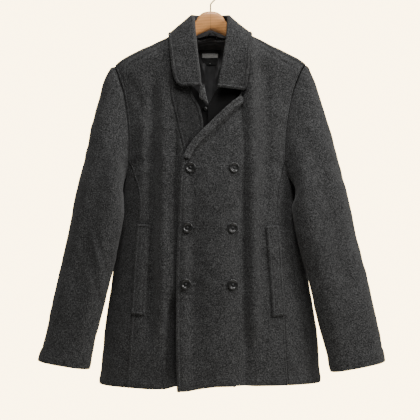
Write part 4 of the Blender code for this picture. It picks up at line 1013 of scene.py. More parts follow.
def add_mesh(name, points, faces, finishes, uv=None, back_from=None):
    """A piece from points and faces. Faces from back_from on take the second finish, and all point outwards."""
    mesh = bpy.data.meshes.new(name)
    mesh.from_pydata(np.asarray(points).tolist(), [], [list(map(int, face)) for face in faces])
    for finish in finishes:
        mesh.materials.append(finish)
    if back_from is not None:
        index = np.zeros(len(faces), np.int32)
        index[back_from:] = 1
        mesh.polygons.foreach_set("material_index", index)
    if uv is not None:
        loops = np.empty(len(mesh.loops), np.int32)
        mesh.loops.foreach_get("vertex_index", loops)
        layer = mesh.uv_layers.new(name="Cloth")
        layer.data.foreach_set("uv", np.asarray(uv, np.float32)[loops].ravel())
    if signed_volume(mesh) < 0:
        mesh.flip_normals()
    mesh.shade_smooth()
    piece = bpy.data.objects.new(name, mesh)
    bpy.data.collections[COLLECTION].objects.link(piece)
    return piece


def signed_volume(mesh):
    """Volume inside a closed mesh, below zero when its faces point inwards."""
    mesh.calc_loop_triangles()
    corners = np.empty(len(mesh.loop_triangles) * 3, np.int32)
    mesh.loop_triangles.foreach_get("vertices", corners)
    points = np.empty(len(mesh.vertices) * 3, np.float32)
    mesh.vertices.foreach_get("co", points)
    a, b, c = points.reshape(-1, 3)[corners.reshape(-1, 3)].astype(float).transpose(1, 0, 2)
    return np.einsum("ij,ij->", a, np.cross(b, c)) / 6


def shell(name, outer, normal, thickness, finishes, edges=(1, 1, 1, 1), uv=None):
    """A closed cloth wall: the outer grid, the same grid moved in by the thickness, and a rim between them.

    The rim's section is half an ellipse. edges says how round it is on the bottom row, the last column, the
    top row and the first column: 1 for a turned edge, near 0 where it butts against a seam.
    """
    rows, columns = outer.shape[:2]
    wall = np.broadcast_to(np.asarray(thickness, float), (rows, columns))[..., None]
    inner = outer - normal * wall
    row = np.concatenate(
        [np.zeros(columns - 1), np.arange(rows - 1), np.full(columns - 1, rows - 1), np.arange(rows - 1, 0, -1)]
    ).astype(int)
    column = np.concatenate(
        [np.arange(columns - 1), np.full(rows - 1, columns - 1), np.arange(columns - 1, 0, -1), np.zeros(rows - 1)]
    ).astype(int)
    counts = (columns - 1, rows - 1, columns - 1, rows - 1)
    round_by = np.concatenate([np.full(count, float(edge)) for count, edge in zip(counts, edges)])
    within = outer[np.clip(row, 1, rows - 2), np.clip(column, 1, columns - 2)]
    lift = normal[row, column]
    away = outer[row, column] - within
    away -= lift * (away * lift).sum(-1, keepdims=True)
    away = unit(away)
    half = (outer[row, column] - inner[row, column]) / 2
    middle = inner[row, column] + half
    depth = np.linalg.norm(half, axis=-1, keepdims=True) * round_by[:, None]
    rim = [middle + half * math.cos(turn) + away * depth * math.sin(turn) for turn in RIM_TURNS]

    number = np.arange(rows * columns).reshape(rows, columns)
    size = rows * columns
    loops = [number[row, column]]
    loops += [2 * size + np.arange(len(row)) + len(row) * ring_number for ring_number in range(len(rim))]
    loops.append(number[row, column] + size)
    faces = [quads(number)]
    for this, following in zip(loops[:-1], loops[1:]):
        faces.append(stacked(this, following, np.roll(following, -1), np.roll(this, -1)))
    back_from = sum(len(part) for part in faces)
    faces.append(quads(number)[:, ::-1] + size)
    points = np.concatenate([outer.reshape(-1, 3), inner.reshape(-1, 3), *rim])
    if uv is not None:
        uv = uv.reshape(-1, 2)
        uv = np.concatenate([uv, uv] + [uv[number[row, column]]] * len(rim))
    back = back_from if len(finishes) > 1 else None
    return add_mesh(name, points, np.concatenate(faces), finishes, uv, back)


def sweep(points, radius, sides, closed=False):
    """A round tube along points: a ring across the path at each, carried along with no twist, and end caps."""
    points = np.asarray(points, float)
    ahead = np.roll(points, -1, axis=0) - np.roll(points, 1, axis=0)
    if not closed:
        ahead[0], ahead[-1] = points[1] - points[0], points[-1] - points[-2]
    ahead = unit(ahead)
    helper = np.array([0.0, 1.0, 0.0]) if abs(ahead[0][1]) < 0.9 else np.array([1.0, 0.0, 0.0])
    across = unit(np.cross(ahead, helper))
    upward = np.cross(across, ahead)
    turn = round_angles(sides)
    radius = np.broadcast_to(np.asarray(radius, float), len(points))[:, None, None]
    wheel = radius * np.cos(turn)[None, :, None] * across[:, None]
    wheel = points[:, None] + wheel + radius * np.sin(turn)[None, :, None] * upward[:, None]
    number = np.arange(len(points) * sides).reshape(len(points), sides)
    rings = wrapped(number)
    if closed:
        rings = np.concatenate([rings, rings[:1]], axis=0)
    faces = quads(rings).tolist()
    if not closed:
        faces += [number[0, ::-1].tolist(), number[-1].tolist()]
    return wheel.reshape(-1, 3), faces


def turned(profile, place, axis, segments):
    """A profile of (radius, height) turned round an axis at a place. Both its ends lie on the axis."""
    axis = unit(np.asarray(axis, float))
    helper = np.array([1.0, 0.0, 0.0]) if abs(axis[0]) < 0.9 else np.array([0.0, 0.0, 1.0])
    across = unit(np.cross(helper, axis))
    upward = np.cross(axis, across)
    turn = round_angles(segments)
    radius, height = np.asarray(profile, float)[1:-1].T
    wheel = np.cos(turn)[:, None] * across + np.sin(turn)[:, None] * upward
    circles = place + radius[:, None, None] * wheel[None] + height[:, None, None] * axis
    ends = np.array([place + axis * profile[0][1], place + axis * profile[-1][1]])
    points = np.concatenate([circles.reshape(-1, 3), ends])
    rings = wrapped(np.arange(len(radius) * segments).reshape(len(radius), segments))
    faces = quads(rings).tolist()
    first, last = len(points) - 2, len(points) - 1
    faces += [[first, b, a] for a, b in zip(rings[0, :-1], rings[0, 1:])]
    faces += [[last, a, b] for a, b in zip(rings[-1, :-1], rings[-1, 1:])]
    return points, faces


def joined(parts):
    """Several (points, faces) as one."""
    points, faces, count = [], [], 0
    for these, those in parts:
        points.append(these)
        faces += [[number + count for number in face] for face in those]
        count += len(these)
    return np.concatenate(points), faces


def finished(piece, slot, *nodes):
    """Sets a finished piece on its body, and hides the solids that it stands for; its material slot is not used."""
    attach(piece, BODY)
    if nodes:
        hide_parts(*nodes)
    return piece


def add_part(name, shape, surface, slot, *nodes):
    """A hard piece or a thread, from its (points, faces)."""
    return finished(add_mesh(name, *shape, [finish(surface)]), slot, *nodes)


def cut_cloth(piece, with_pieces=()):
    """Gives back the piece as it is."""
    return piece


# Materials


class Field:
    """A socket of a material's tree. Arithmetic on it adds Math nodes, also as in 1 - mask."""

    def __init__(self, finish, socket):
        self.finish, self.socket = finish, socket

    def math(self, operation, *others):
        values = {number: value for number, value in enumerate(others)}
        return self.finish.node("ShaderNodeMath", "Value", {"operation": operation}, values)

    def __add__(self, other):
        return self.math("ADD", self, other)

    def __radd__(self, other):
        return self.math("ADD", other, self)

    def __sub__(self, other):
        return self.math("SUBTRACT", self, other)

    def __rsub__(self, other):
        return self.math("SUBTRACT", other, self)

    def __mul__(self, other):
        return self.math("MULTIPLY", self, other)

    def __rmul__(self, other):
        return self.math("MULTIPLY", other, self)

    def __truediv__(self, other):
        return self.math("DIVIDE", self, other)

    def __pow__(self, other):
        return self.math("POWER", self, other)

    def within(self, low, high, soft):
        """1 from low to high, and 0 outside, with soft borders."""
        return self.between(low, low + soft) * (1 - self.between(high, high + soft))

    def between(self, low, high):
        """0 at low, 1 at high, and smooth between."""
        settings = {"interpolation_type": "SMOOTHSTEP"}
        values = {"Value": self, "From Min": low, "From Max": high}
        return self.finish.node("ShaderNodeMapRange", "Result", settings, values)


def toned(colour, brightness):
    return tuple(channel * brightness for channel in colour)


class Finish:
    """A material being made. node adds any node: its settings come first, then its sockets' values or links."""

    def __init__(self, name, roughness, **constants):
        self.material = bpy.data.materials.new(name)
        self.material.use_nodes = True
        self.tree = self.material.node_tree
        self.shader = self.tree.nodes["Principled BSDF"]
        self.shader.inputs["Roughness"].default_value = roughness
        for name, value in constants.items():
            self.shader.inputs[name.replace("_", " ")].default_value = value

    def link(self, socket, value):
        if isinstance(value, Field):
            self.tree.links.new(value.socket, socket)
        else:
            socket.default_value = value

    def node(self, kind, output, settings=None, values=None):
        made = self.tree.nodes.new(kind)
        for setting, value in (settings or {}).items():
            if setting == "stops":
                ramp = made.color_ramp.elements
                while len(ramp) < len(value):
                    ramp.new(0.5)
                for element, (place, colour) in zip(ramp, value):
                    element.position, element.color = place, (*colour, 1)
            else:
                setattr(made, setting, value)
        for name, value in (values or {}).items():
            self.link(made.inputs[name], value)
        return Field(self, made.outputs[output])

    def place(self):
        return self.node("ShaderNodeTexCoord", "Object")

    def cloth_place(self):
        return self.node("ShaderNodeUVMap", "UV", {"uv_map": "Cloth"})

    def noise(self, place, size, detail=2.0, roughness=0.5):
        """Cloudy noise whose spots are about as wide as size, in metres."""
        values = {"Vector": place, "Scale": 1 / size, "Detail": detail, "Roughness": roughness}
        return self.node("ShaderNodeTexNoise", 0, {}, values)

    def stretched(self, place, scale, turn=(0, 0, 0)):
        return self.node("ShaderNodeMapping", "Vector", {}, {"Vector": place, "Scale": scale, "Rotation": turn})

    def bands(self, place, direction, scale, distortion, profile="SIN", **values):
        settings = {"wave_type": "BANDS", "bands_direction": direction, "wave_profile": profile}
        values = {name.replace("_", " "): value for name, value in values.items()}
        values |= {"Vector": place, "Scale": scale, "Distortion": distortion}
        return self.node("ShaderNodeTexWave", "Fac", settings, values)

    def ramp(self, value, *stops):
        return self.node("ShaderNodeValToRGB", "Color", {"stops": stops}, {"Fac": value})

    def mix(self, share, first, second, blend="MIX"):
        """Two colours by share: node sockets 0, 6 and 7 are the factor and the two colours."""
        first, second = (value if isinstance(value, Field) else (*value, 1) for value in (first, second))
        settings = {"data_type": "RGBA", "blend_type": blend}
        return self.node("ShaderNodeMix", 2, settings, {0: share, 6: first, 7: second})

    def bump(self, height, distance, strength=1.0):
        values = {"Height": height, "Distance": distance, "Strength": strength}
        return self.node("ShaderNodeBump", "Normal", {}, values)

    def done(self, **driven):
        for name, value in driven.items():
            self.link(self.shader.inputs[name.replace("_", " ")], value)
        return self.material


def make_wool(name, brightness=1.0):
    """Milled melange wool: dark and pale fibres in spots of 1 to 3 mm, a few white ones, under a short nap."""
    colours = bpy.context.scene.coat_colours
    wool = Finish(name, 0.92, Sheen_Weight=0.12, Sheen_Roughness=0.55, Specular_IOR_Level=0.25)
    place = wool.place()
    spots = wool.noise(place, 0.0025, 2.0, 0.6)
    fibres = wool.noise(place, 0.0013, 2.0, 0.6)
    clouds = wool.noise(place, 0.030, 2.0)
    tone = spots * 0.62 + fibres * 0.30 + clouds * 0.08
    # brightness scales every colour of the wool: the lighter copies it makes are painted highlight, the darker one
    # painted shade
    dark, light = toned(colours.wool_dark, brightness), toned(colours.wool_light, brightness)
    middle = tuple((a * 0.55 + b * 0.45) * 0.80 for a, b in zip(dark, light))
    colour = wool.ramp(tone, (0.40, dark), (0.50, middle), (0.60, light))
    hairs = wool.noise(wool.stretched(place, (1.0, 1.0, 0.35), (0.5, 0.3, 0.9)), 0.0011, 1.0)
    colour = wool.mix(hairs.between(0.66, 0.76) * 0.55, colour, colours.wool_hair)
    twill = wool.bands(wool.cloth_place(), "DIAGONAL", 260.0, 3.0, Detail=2.0, Detail_Scale=2.0)
    nap = wool.noise(place, 0.0008, 3.0, 0.65)
    height = nap * 0.6 + spots * 0.5 + twill * 0.15
    return wool.done(Base_Color=colour, Roughness=0.86 + nap * 0.14, Normal=wool.bump(height, 0.0006, 0.75))


def make_satin(name):
    """Black satin: smooth, with a fine rib across its threads that spreads the light."""
    colours = bpy.context.scene.coat_colours
    satin = Finish(name, 0.34, Sheen_Weight=0.45, Sheen_Roughness=0.4, Specular_IOR_Level=0.7)
    place = satin.place()
    rib = satin.noise(satin.stretched(place, (0.25, 0.25, 6.0)), 0.0016, 2.0)
    clouds = satin.noise(place, 0.014, 2.0)
    colour = satin.ramp(clouds, (0.3, colours.lining), (0.75, toned(colours.lining, 2.2)))
    return satin.done(Base_Color=colour, Roughness=0.30 + rib * 0.25, Normal=satin.bump(rib, 0.00015, 0.5))


def make_near_black_cloth_with_painted_shade(name):
    """The inner layer: a dull dark cloth with a fine grain, made near black as painted shade. The buttons' holes
    take it too, as dark discs of painted shade.
    """
    cloth = Finish(name, 0.85, Sheen_Weight=0.02, Specular_IOR_Level=0.2)
    place = cloth.place()
    grain = cloth.noise(place, 0.0012, 3.0)
    clouds = cloth.noise(place, 0.02, 2.0)
    colour = cloth.ramp(grain * 0.6 + clouds * 0.4, (0.3, (0.0020, 0.0020, 0.0020)), (0.7, (0.0070, 0.0068, 0.0070)))
    return cloth.done(Base_Color=colour, Normal=cloth.bump(grain, 0.0003, 0.7))


def make_label(name):
    """A woven label: black, with one pale bar across its upper half, a faint short one near its foot, and ribs."""
    low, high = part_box("label")
    label = Finish(name, 0.7, Sheen_Weight=0.1)
    place = label.place()
    split = {axis: label.node("ShaderNodeSeparateXYZ", axis, {}, {"Vector": place}) for axis in "XZ"}
    across = (split["X"] - low[0]) / (high[0] - low[0])
    up = (split["Z"] - low[2]) / (high[2] - low[2])
    edge = 0.012
    bar = across.within(0.10, 0.90 - edge, edge) * up.within(0.48, 0.76, 3 * edge)
    short_bar = across.within(0.46, 0.54 - edge, edge) * up.within(0.08, 0.13, 3 * edge) * 0.5
    rib = label.bands(place, "Z", 420.0, 0.5)
    thread = label.noise(place, 0.0007, 2.0)
    colour = label.mix((bar + short_bar) * (0.6 + thread * 0.5), (0.006, 0.006, 0.006), (0.62, 0.62, 0.60))
    return label.done(Base_Color=colour, Normal=label.bump(rib * 0.5 + thread, 0.0002, 0.8))


def make_button(name):
    """Dark moulded resin with faint clouds, polished on its rim."""
    colours = bpy.context.scene.coat_colours
    resin = Finish(name, 0.36, Coat_Weight=0.35, Coat_Roughness=0.30, Specular_IOR_Level=0.6)
    place = resin.place()
    clouds = resin.noise(resin.stretched(place, (1.0, 1.0, 2.5)), 0.006, 3.0)
    colour = resin.ramp(clouds, (0.35, colours.button), (0.7, toned(colours.button, 1.8)))
    scuffs = resin.noise(place, 0.0012, 3.0)
    return resin.done(Base_Color=colour, Roughness=0.30 + scuffs * 0.16, Normal=resin.bump(scuffs, 0.00008, 0.4))


def make_thread(name):
    """Twisted sewing thread, nearly the colour of the wool."""
    thread = Finish(name, 0.6, Sheen_Weight=0.1)
    place = thread.place()
    twist = thread.noise(place, 0.0005, 2.0)
    colour = thread.ramp(twist, (0.3, (0.030, 0.031, 0.032)), (0.7, (0.110, 0.113, 0.116)))
    return thread.done(Base_Color=colour, Normal=thread.bump(twist, 0.0002, 0.6))


def make_wood(name):
    """Pale beech under satin varnish: long grain along each arm, short dark flecks, and the glued joint's line."""
    colours = bpy.context.scene.coat_colours
    wood = Finish(name, 0.38, Coat_Weight=0.35, Coat_Roughness=0.25, Specular_IOR_Level=0.5)
    place = wood.place()
    along = wood.stretched(place, (0.16, 1.0, 1.0), (0, 0.42, 0))
    grain = wood.noise(along, 0.0030, 4.0, 0.6)
    rings = wood.bands(along, "Z", 55.0, 4.0, "SAW", Detail=3.0, Detail_Scale=1.2)
    flecks = wood.noise(wood.stretched(place, (0.30, 1.0, 3.0), (0, 0.42, 0)), 0.0011, 2.0)
    tone = grain * 0.6 + rings * 0.4
    dark = tuple(c * share for c, share in zip(colours.wood, (0.74, 0.66, 0.56)))
    colour = wood.ramp(tone, (0.25, dark), (0.75, colours.wood))
    colour = wood.mix(flecks.between(0.62, 0.72) * 0.35, colour, toned(colours.wood, 0.45))
    across = wood.node("ShaderNodeSeparateXYZ", "X", {}, {"Vector": place})
    joint = 1 - across.math("ABSOLUTE", across).between(0.0002, 0.0008)
    colour = wood.mix(joint * 0.65, colour, toned(colours.wood, 0.30))
    return wood.done(
        Base_Color=colour, Roughness=0.32 + grain * 0.20, Normal=wood.bump(grain - joint * 0.8, 0.00025, 0.5)
    )


def make_steel(name):
    """Dull plated wire with fine lengthwise drawing marks."""
    steel = Finish(name, 0.55, Specular_IOR_Level=0.3)
    place = steel.place()
    marks = steel.noise(steel.stretched(place, (4.0, 4.0, 0.4)), 0.002, 3.0)
    colour = steel.ramp(marks, (0.2, (0.13, 0.115, 0.10)), (0.8, (0.24, 0.215, 0.19)))
    return steel.done(Base_Color=colour, Roughness=0.45 + marks * 0.18, Normal=steel.bump(marks, 0.00006, 0.3))


def make_floor(name):
    """A pale floor with a faint grain."""
    floor = Finish(name, 0.85)
    grain = floor.noise(floor.place(), 0.02, 3.0)
    backdrop = bpy.context.scene.coat_colours.backdrop
    colour = floor.ramp(grain, (0.3, toned(backdrop, 0.96)), (0.7, backdrop))
    return floor.done(Base_Color=colour)


MAKERS = {
    "melange wool": make_wool,
    # A darker copy of the wool: painted shade for the under front's inner piece, which the collar shades
    "shaded wool": lambda name: make_wool(name, 0.48),
    # A lighter copy of the wool: painted highlight on the left lapel's strip, which the light runs along
    "pressed wool": lambda name: make_wool(name, 1.3),
    # A still lighter copy: painted highlight on the right lapel's tip, which catches the light
    "worn wool": lambda name: make_wool(name, 1.7),
    "satin lining": make_satin,
    "inner layer": make_near_black_cloth_with_painted_shade,
    "woven label": make_label,
    "resin button": make_button,
    "sewing thread": make_thread,
    "beech": make_wood,
    "plated steel": make_steel,
    "pale floor": make_floor,
}


def finish(name):
    """A material by its name, made when it is first asked for."""
    return bpy.data.materials.get(name) or MAKERS[name](name)


# Cloth pieces


def from_borders(points):
    """Each point's way along the cloth to the bottom row, the last column, the top row and the first column."""
    up = np.linalg.norm(np.diff(points, axis=0), axis=-1)
    over = np.linalg.norm(np.diff(points, axis=1), axis=-1)
    bottom = np.concatenate([np.zeros((1, points.shape[1])), np.cumsum(up, axis=0)])
    first = np.concatenate([np.zeros((len(points), 1)), np.cumsum(over, axis=1)], axis=1)
    return bottom, first[:, -1:] - first, bottom[-1:] - bottom, first


def line_at(grid, distance, value):
    """The line across a grid where distance, which grows along each row, has one value."""
    row = np.arange(len(grid))
    after = np.maximum(np.argmax(distance >= value, axis=1), 1)
    low, high = distance[row, after - 1], distance[row, after]
    share = np.clip((value - low) / np.maximum(high - low, 1e-9), 0, 1)[:, None]
    return grid[row, after - 1] * (1 - share) + grid[row, after] * share


def border_line(grid, distances, border, value):
    """The line on a grid that runs along one border, a value away from it."""
    distance = distances[border]
    if border in (BOTTOM, TOP):
        grid, distance = grid.transpose(1, 0, 2), distance.T
    if border in (TOP, LAST):
        grid, distance = grid[:, ::-1], distance[:, ::-1]
    return line_at(grid, distance, value)


def route(outer, normal, distances, border, value, start, end):
    """A row of stitches beside a border: its line, its outward directions, and what it leaves free at its ends."""
    line, out = (border_line(grid, distances, border, value) for grid in (outer, normal))
    return line, out, start, end


def add_stitches(name, routes):
    """Rows of stitches. Each one is a closed spindle of four sides, and lies along its route with a gap after it."""
    pitch = bpy.context.scene.coat_shape.stitch_pitch
    places, ways, outs = [], [], []
    for line, normal, start, end in routes:
        length = np.concatenate([[0], np.cumsum(np.linalg.norm(np.diff(line, axis=0), axis=1))])
        at = np.arange(start + pitch / 2, length[-1] - end - pitch / 2, pitch)
        behind, ahead, out = (
            np.stack([np.interp(at + step, length, values[:, axis]) for axis in range(3)], -1)
            for values, step in ((line, -1e-3), (line, 1e-3), (normal, 0))
        )
        places.append((behind + ahead) / 2)
        ways.append(unit(ahead - behind))
        outs.append(unit(out))
    place, way, out = (np.concatenate(part) for part in (places, ways, outs))
    side = np.cross(way, out)
    along, size = np.array(STITCH_SPINDLE).T
    turn = np.arange(4) * math.pi / 2 + math.pi / 4
    ring_points = (
        place[:, None, None]
        + way[:, None, None] * (along * pitch)[None, :, None, None]
        + side[:, None, None] * (size[:, None] * np.cos(turn) * THREAD)[None, ..., None]
        + out[:, None, None] * (size[:, None] * (np.sin(turn) * 0.7 + STITCH_RISE) * THREAD)[None, ..., None]
    )
    rings = len(along)
    number = np.arange(rings * 4).reshape(rings, 4)
    faces = np.concatenate([quads(wrapped(number)), number[:1, ::-1], number[-1:]])
    faces = (faces[None] + (np.arange(len(place)) * rings * 4)[:, None, None]).reshape(-1, 4)
    return add_part(name, (ring_points.reshape(-1, 3), faces), "sewing thread", "wool")


def body_relief(name, distances):
    """Seams, hem and edges of the body's panels: which border is which, for each piece."""
    total = 0.0
    for border, kind in BORDERS[name].items():
        distance = distances[border]
        if kind == "seam":
            total = total + sewn(distance)
        elif kind == "lapped":
            total = total + sewn(distance, LAP, TOPSTITCH)
        elif kind == "hem":
            total = total + folded(distance, HEM_STITCH)
        elif kind == "edge":
            total = total + folded(distance, TOPSTITCH)
    return total


def build_panel(name, patch_at, facing, side, size, edges, lift=None, table=()):
    """One panel of the front or back: the form, its slack and creases, then its seams."""
    step = bpy.context.scene.coat_shape.step
    t, s = spaced(size[1], step)[:, None], spaced(size[0], step)[None]
    grid = patch_at(t, s)
    x, path = grid[..., 0], grid[..., 1]
    points = sheet(x, path, facing, side)
    normal = normals(lambda a, b: sheet(a, b, facing, side), x, path, way_out(path, facing))
    distances = from_borders(points)
    if name != "front_right_inner":
        start = SIDE_SEAM_ANGLE if facing == FRONT else BACK_SEAM_ANGLE
        angle = start + (SHOULDER_SEAM_ANGLE - start) * np.clip(2 * t[:, 0] - 1, 0, 1)
        mitre = armhole_normals(angle, side)[:, None]
        share = ((1 - ease(0.0, MITRE_WIDTH, distances[FIRST])) * ease(0.5, 0.53, t))[..., None]
        normal = unit(normal * (1 - share) + mitre * share)
    slack = uneven(points, SLACK_SEED) + creases(x, points[..., 2], table)
    if lift is not None:
        slack = slack + lift(x, points[..., 2])
    relief = body_relief(name, distances)
    outer = points + normal * (slack + relief)[..., None]
    # The under front's inner piece takes the darker wool, as painted shade under the collar
    wool = "shaded wool" if name == "front_right_inner" else "melange wool"
    finishes = [finish(wool), finish("satin lining")]
    piece = shell(name + "_cloth", outer, normal, WOOL + relief, finishes, edges, grid)
    finished(piece, "wool", name)
    routes = []
    for border, kind in BORDERS[name].items():
        value = {"lapped": TOPSTITCH, "edge": TOPSTITCH, "hem": HEM_STITCH}.get(kind)
        if value:
            routes.append(route(outer, normal, distances, border, value, 0.004, 0.004))
    if routes:
        rows = add_stitches(name + "_stitches", routes)
        return cut_cloth(piece, with_pieces=[rows])
    return cut_cloth(piece)


def build_fronts():
    """The under front in its two pieces, joined by the long seam beside the opening, and the over front."""
    seam, free = SEAM_RIM, 1
    right = front_patch(lambda t: side_line(t, FRONT, RIGHT), lambda t: line_up(V_SEAM, 2 * t, -GAP / 2), RIGHT)
    inner = front_patch(lambda t: line_up(V_SEAM, 2 * t, GAP / 2), lambda t: line_up(UNDER_EDGE, 2 * t), RIGHT)
    over = front_patch(lambda t: side_line(t, FRONT, LEFT), lambda t: line_up(OVER_EDGE, 2 * t), LEFT)
    for name, patch_at, side, width, rim, lift in (
        ("front_right", right, RIGHT, 0.14, seam, None),
        ("front_right_inner", inner, RIGHT, 0.07, free, None),
        ("front_left", over, LEFT, 0.21, free, over_lift),
    ):
        edges = (free, rim, seam, seam)
        build_panel(name, patch_at, FRONT, side, (width, FRONT_LENGTH), edges, lift, FRONT_CREASES[side])


def build_backs():
    """The two backs, each up to the centre seam and over the shoulder to the shoulder seam."""
    edges = (1, SEAM_RIM, SEAM_RIM, SEAM_RIM)
    for side, name in ((RIGHT, "back_right"), (LEFT, "back_left")):
        build_panel(name, back_patch(side), BACK, side, BACK_SIZE, edges, None, BACK_CREASES[side])


def build_side(side, name):
    """One side body, from the front's seam under the arm to the back's."""
    step = bpy.context.scene.coat_shape.step
    t, s = spaced(SIDE_LENGTH, step)[:, None], spaced(SIDE_WIDTH, step)[None]
    grid = side_patch(side)(t, s)
    turn, z = grid[..., 0], grid[..., 1]
    points = ring(turn, z, side)
    middle = stacked(0 * z, 0 * z - 0.01, z)
    normal = normals(lambda a, b: ring(a, b, side), turn, z, points - middle)
    distances = from_borders(points)
    angle = SIDE_SEAM_ANGLE + (BACK_SEAM_ANGLE - 2 * math.pi - SIDE_SEAM_ANGLE) * s[0]
    share = (1 - ease(0.0, MITRE_WIDTH, distances[TOP]))[..., None]
    normal = unit(normal * (1 - share) + armhole_normals(angle, side)[None] * share)
    relief = body_relief(name, distances)
    outer = points + normal * (uneven(points, SLACK_SEED) + relief)[..., None]
    uv = np.stack([distances[FIRST], z], axis=-1)
    finishes = [finish("melange wool"), finish("satin lining")]
    piece = shell(name + "_cloth", outer, normal, WOOL + relief, finishes, (1, SEAM_RIM, SEAM_RIM, SEAM_RIM), uv)
    finished(piece, "wool", name)
    rows = add_stitches(
        name + "_stitches", [route(outer, normal, distances, BOTTOM, HEM_STITCH, 0.002, 0.002)]
    )
    return cut_cloth(piece, with_pieces=[rows])


def build_sides():
    for side, name in ((RIGHT, "side_right"), (LEFT, "side_left")):
        build_side(side, name)


def build_sleeve_piece(side, name, start, end, width):
    """One of a sleeve's two pieces: the tube's form between two seams, drawn to the armhole over its head."""
    step = bpy.context.scene.coat_shape.step
    u = spaced(SLEEVE_LENGTH, step)[:, None]
    v = spaced(width, step)[None]
    plain = start + (end - start) * v
    speed = np.linalg.norm(sleeve(plain, 0.01, side) - sleeve(plain, 0.0, side), axis=-1) / 0.01
    head = HEAD_GAP / speed
    share = head + (1 - head) * u
    small = 0.01
    seams = []
    for at, way in ((start, 1), (end, -1)):
        here, beside = (sleeve(at + turn + 0 * u, share[:, :1], side) for turn in (0, small * way))
        seams.append(at + way * GAP * small / np.linalg.norm(beside - here, axis=-1))
    angle = seams[0] + (seams[1] - seams[0]) * v
    points = sleeve(angle, share, side)
    normal = sleeve_normals(angle, share, side)
    mitre = (1 - ease(0, MITRE_SHARE, share))[..., None]
    normal = unit(normal * (1 - mitre) + armhole_normals(plain[0], side)[None] * mitre)
    distances = from_borders(points)
    down = distances[BOTTOM]
    clear = ease(0.01, 0.05, down) * ease(0.0, 0.012, distances[FIRST]) * ease(0.0, 0.012, distances[LAST])
    slack = uneven(points, SLACK_SEED) + creases(angle, down, SLEEVE_CREASES[side]) * clear
    outside = np.maximum(-np.cos(angle), 0)
    slack = slack + HEAD_FULLNESS[side] * outside**2 * ease(0, 0.010, down) * (1 - ease(0.012, 0.090, down))
    slack = slack + PUCKER * outside * np.exp(-((down / 0.022) ** 2)) * np.sin(angle * 34)
    relief = sewn(distances[FIRST]) + sewn(distances[LAST]) + sewn(down) + folded(distances[TOP], CUFF_HEM)
    points[..., 2] -= CUFF_DROP * ease(0.94, 1, share) * np.maximum(-np.sin(angle), 0) ** 0.5
    outer = points + normal * (slack + relief)[..., None]
    uv = stacked(angle * 0.09, share * SLEEVE_LENGTH)
    finishes = [finish("melange wool"), finish("satin lining")]
    edges = (SEAM_RIM, SEAM_RIM, 1, SEAM_RIM)
    piece = shell(name + "_cloth", outer, normal, WOOL + relief, finishes, edges, uv)
    return cut_cloth(finished(piece, "wool", name))


def build_sleeves():
    for side, name in ((RIGHT, "sleeve_right"), (LEFT, "sleeve_left")):
        build_sleeve_piece(side, name + "_upper", SLEEVE_FRONT_SEAM, SLEEVE_BACK_SEAM, UPPER_WIDTH)
        build_sleeve_piece(side, name + "_under", SLEEVE_BACK_SEAM, SLEEVE_FRONT_SEAM + 2 * math.pi, UNDER_WIDTH)


# Collar


def collar_rows():
    """Neck, roll and free-edge points of the collar's hollow side, from the right end round the back to the left."""
    rows = {}
    for side in (RIGHT, LEFT):
        neck, roll, edge = [], [], []
        for number, (nx, nz, rx, ry, rz, fx, fz, lift) in enumerate(COLLAR[side]):
            facing = BACK if number < COLLAR_BACK_ROWS else FRONT
            raised = over_lift(nx, nz) if (side == LEFT and facing == FRONT) else 0.0
            neck.append(lifted(side * nx, path_to(nx, nz), facing, side, raised))
            neck[-1][0] = side * nx
            roll.append(np.array([side * rx, ry, rz + COLLAR_RISE]))
            raised = over_lift(fx, fz) if (side == LEFT and facing == FRONT) else 0.0
            edge.append(lifted(side * fx, path_to(fx, fz), facing, side, lift + raised))
            edge[-1][0] = side * fx
        rows[side] = np.array([neck, roll, edge])
    return np.concatenate([rows[RIGHT][:, :0:-1], rows[LEFT]], axis=1)


def collar_point(place, across, rows):
    """Stand and fall are straight, and one runs into the other round the roll."""
    neck, roll, edge = (smooth_line(place, line) for line in rows)
    across = np.asarray(across, float)[..., None]
    stand = neck + (roll - neck) * across / STAND_SHARE
    fall = roll + (edge - roll) * (across - STAND_SHARE) / (1 - STAND_SHARE)
    over = ease(STAND_SHARE - ROLL_SHARE, STAND_SHARE + ROLL_SHARE, across)
    return stand * (1 - over) + fall * over


def rounded(a, b, radius_a, radius_b):
    """Draws the corner at (0, 0) in to an arc: a point of the corner's box keeps its way round its inner corner."""
    p, q = 1 - a / radius_a, 1 - b / radius_b
    inside = (p > 0) & (q > 0)
    length = np.hypot(p, q)
    shrink = np.where(inside, np.maximum(p, q) / np.maximum(length, 1e-9), 1.0)
    return np.where(inside, radius_a * (1 - p * shrink), a), np.where(inside, radius_b * (1 - q * shrink), b)


def line_stand(piece):
    """Gives the satin to the stand's face behind the neck, above the lining's top edge."""
    faces = piece.data.polygons
    middle, way = np.empty(len(faces) * 3, np.float32), np.empty(len(faces) * 3, np.float32)
    faces.foreach_get("center", middle)
    faces.foreach_get("normal", way)
    middle, way = middle.reshape(-1, 3), way.reshape(-1, 3)
    lined = (middle[:, 1] > STAND_BEHIND) & (way[:, 1] < -0.2) & (middle[:, 2] < STAND_BELOW)
    piece.data.materials.append(finish("satin lining"))
    faces.foreach_set("material_index", lined.astype(np.int32))


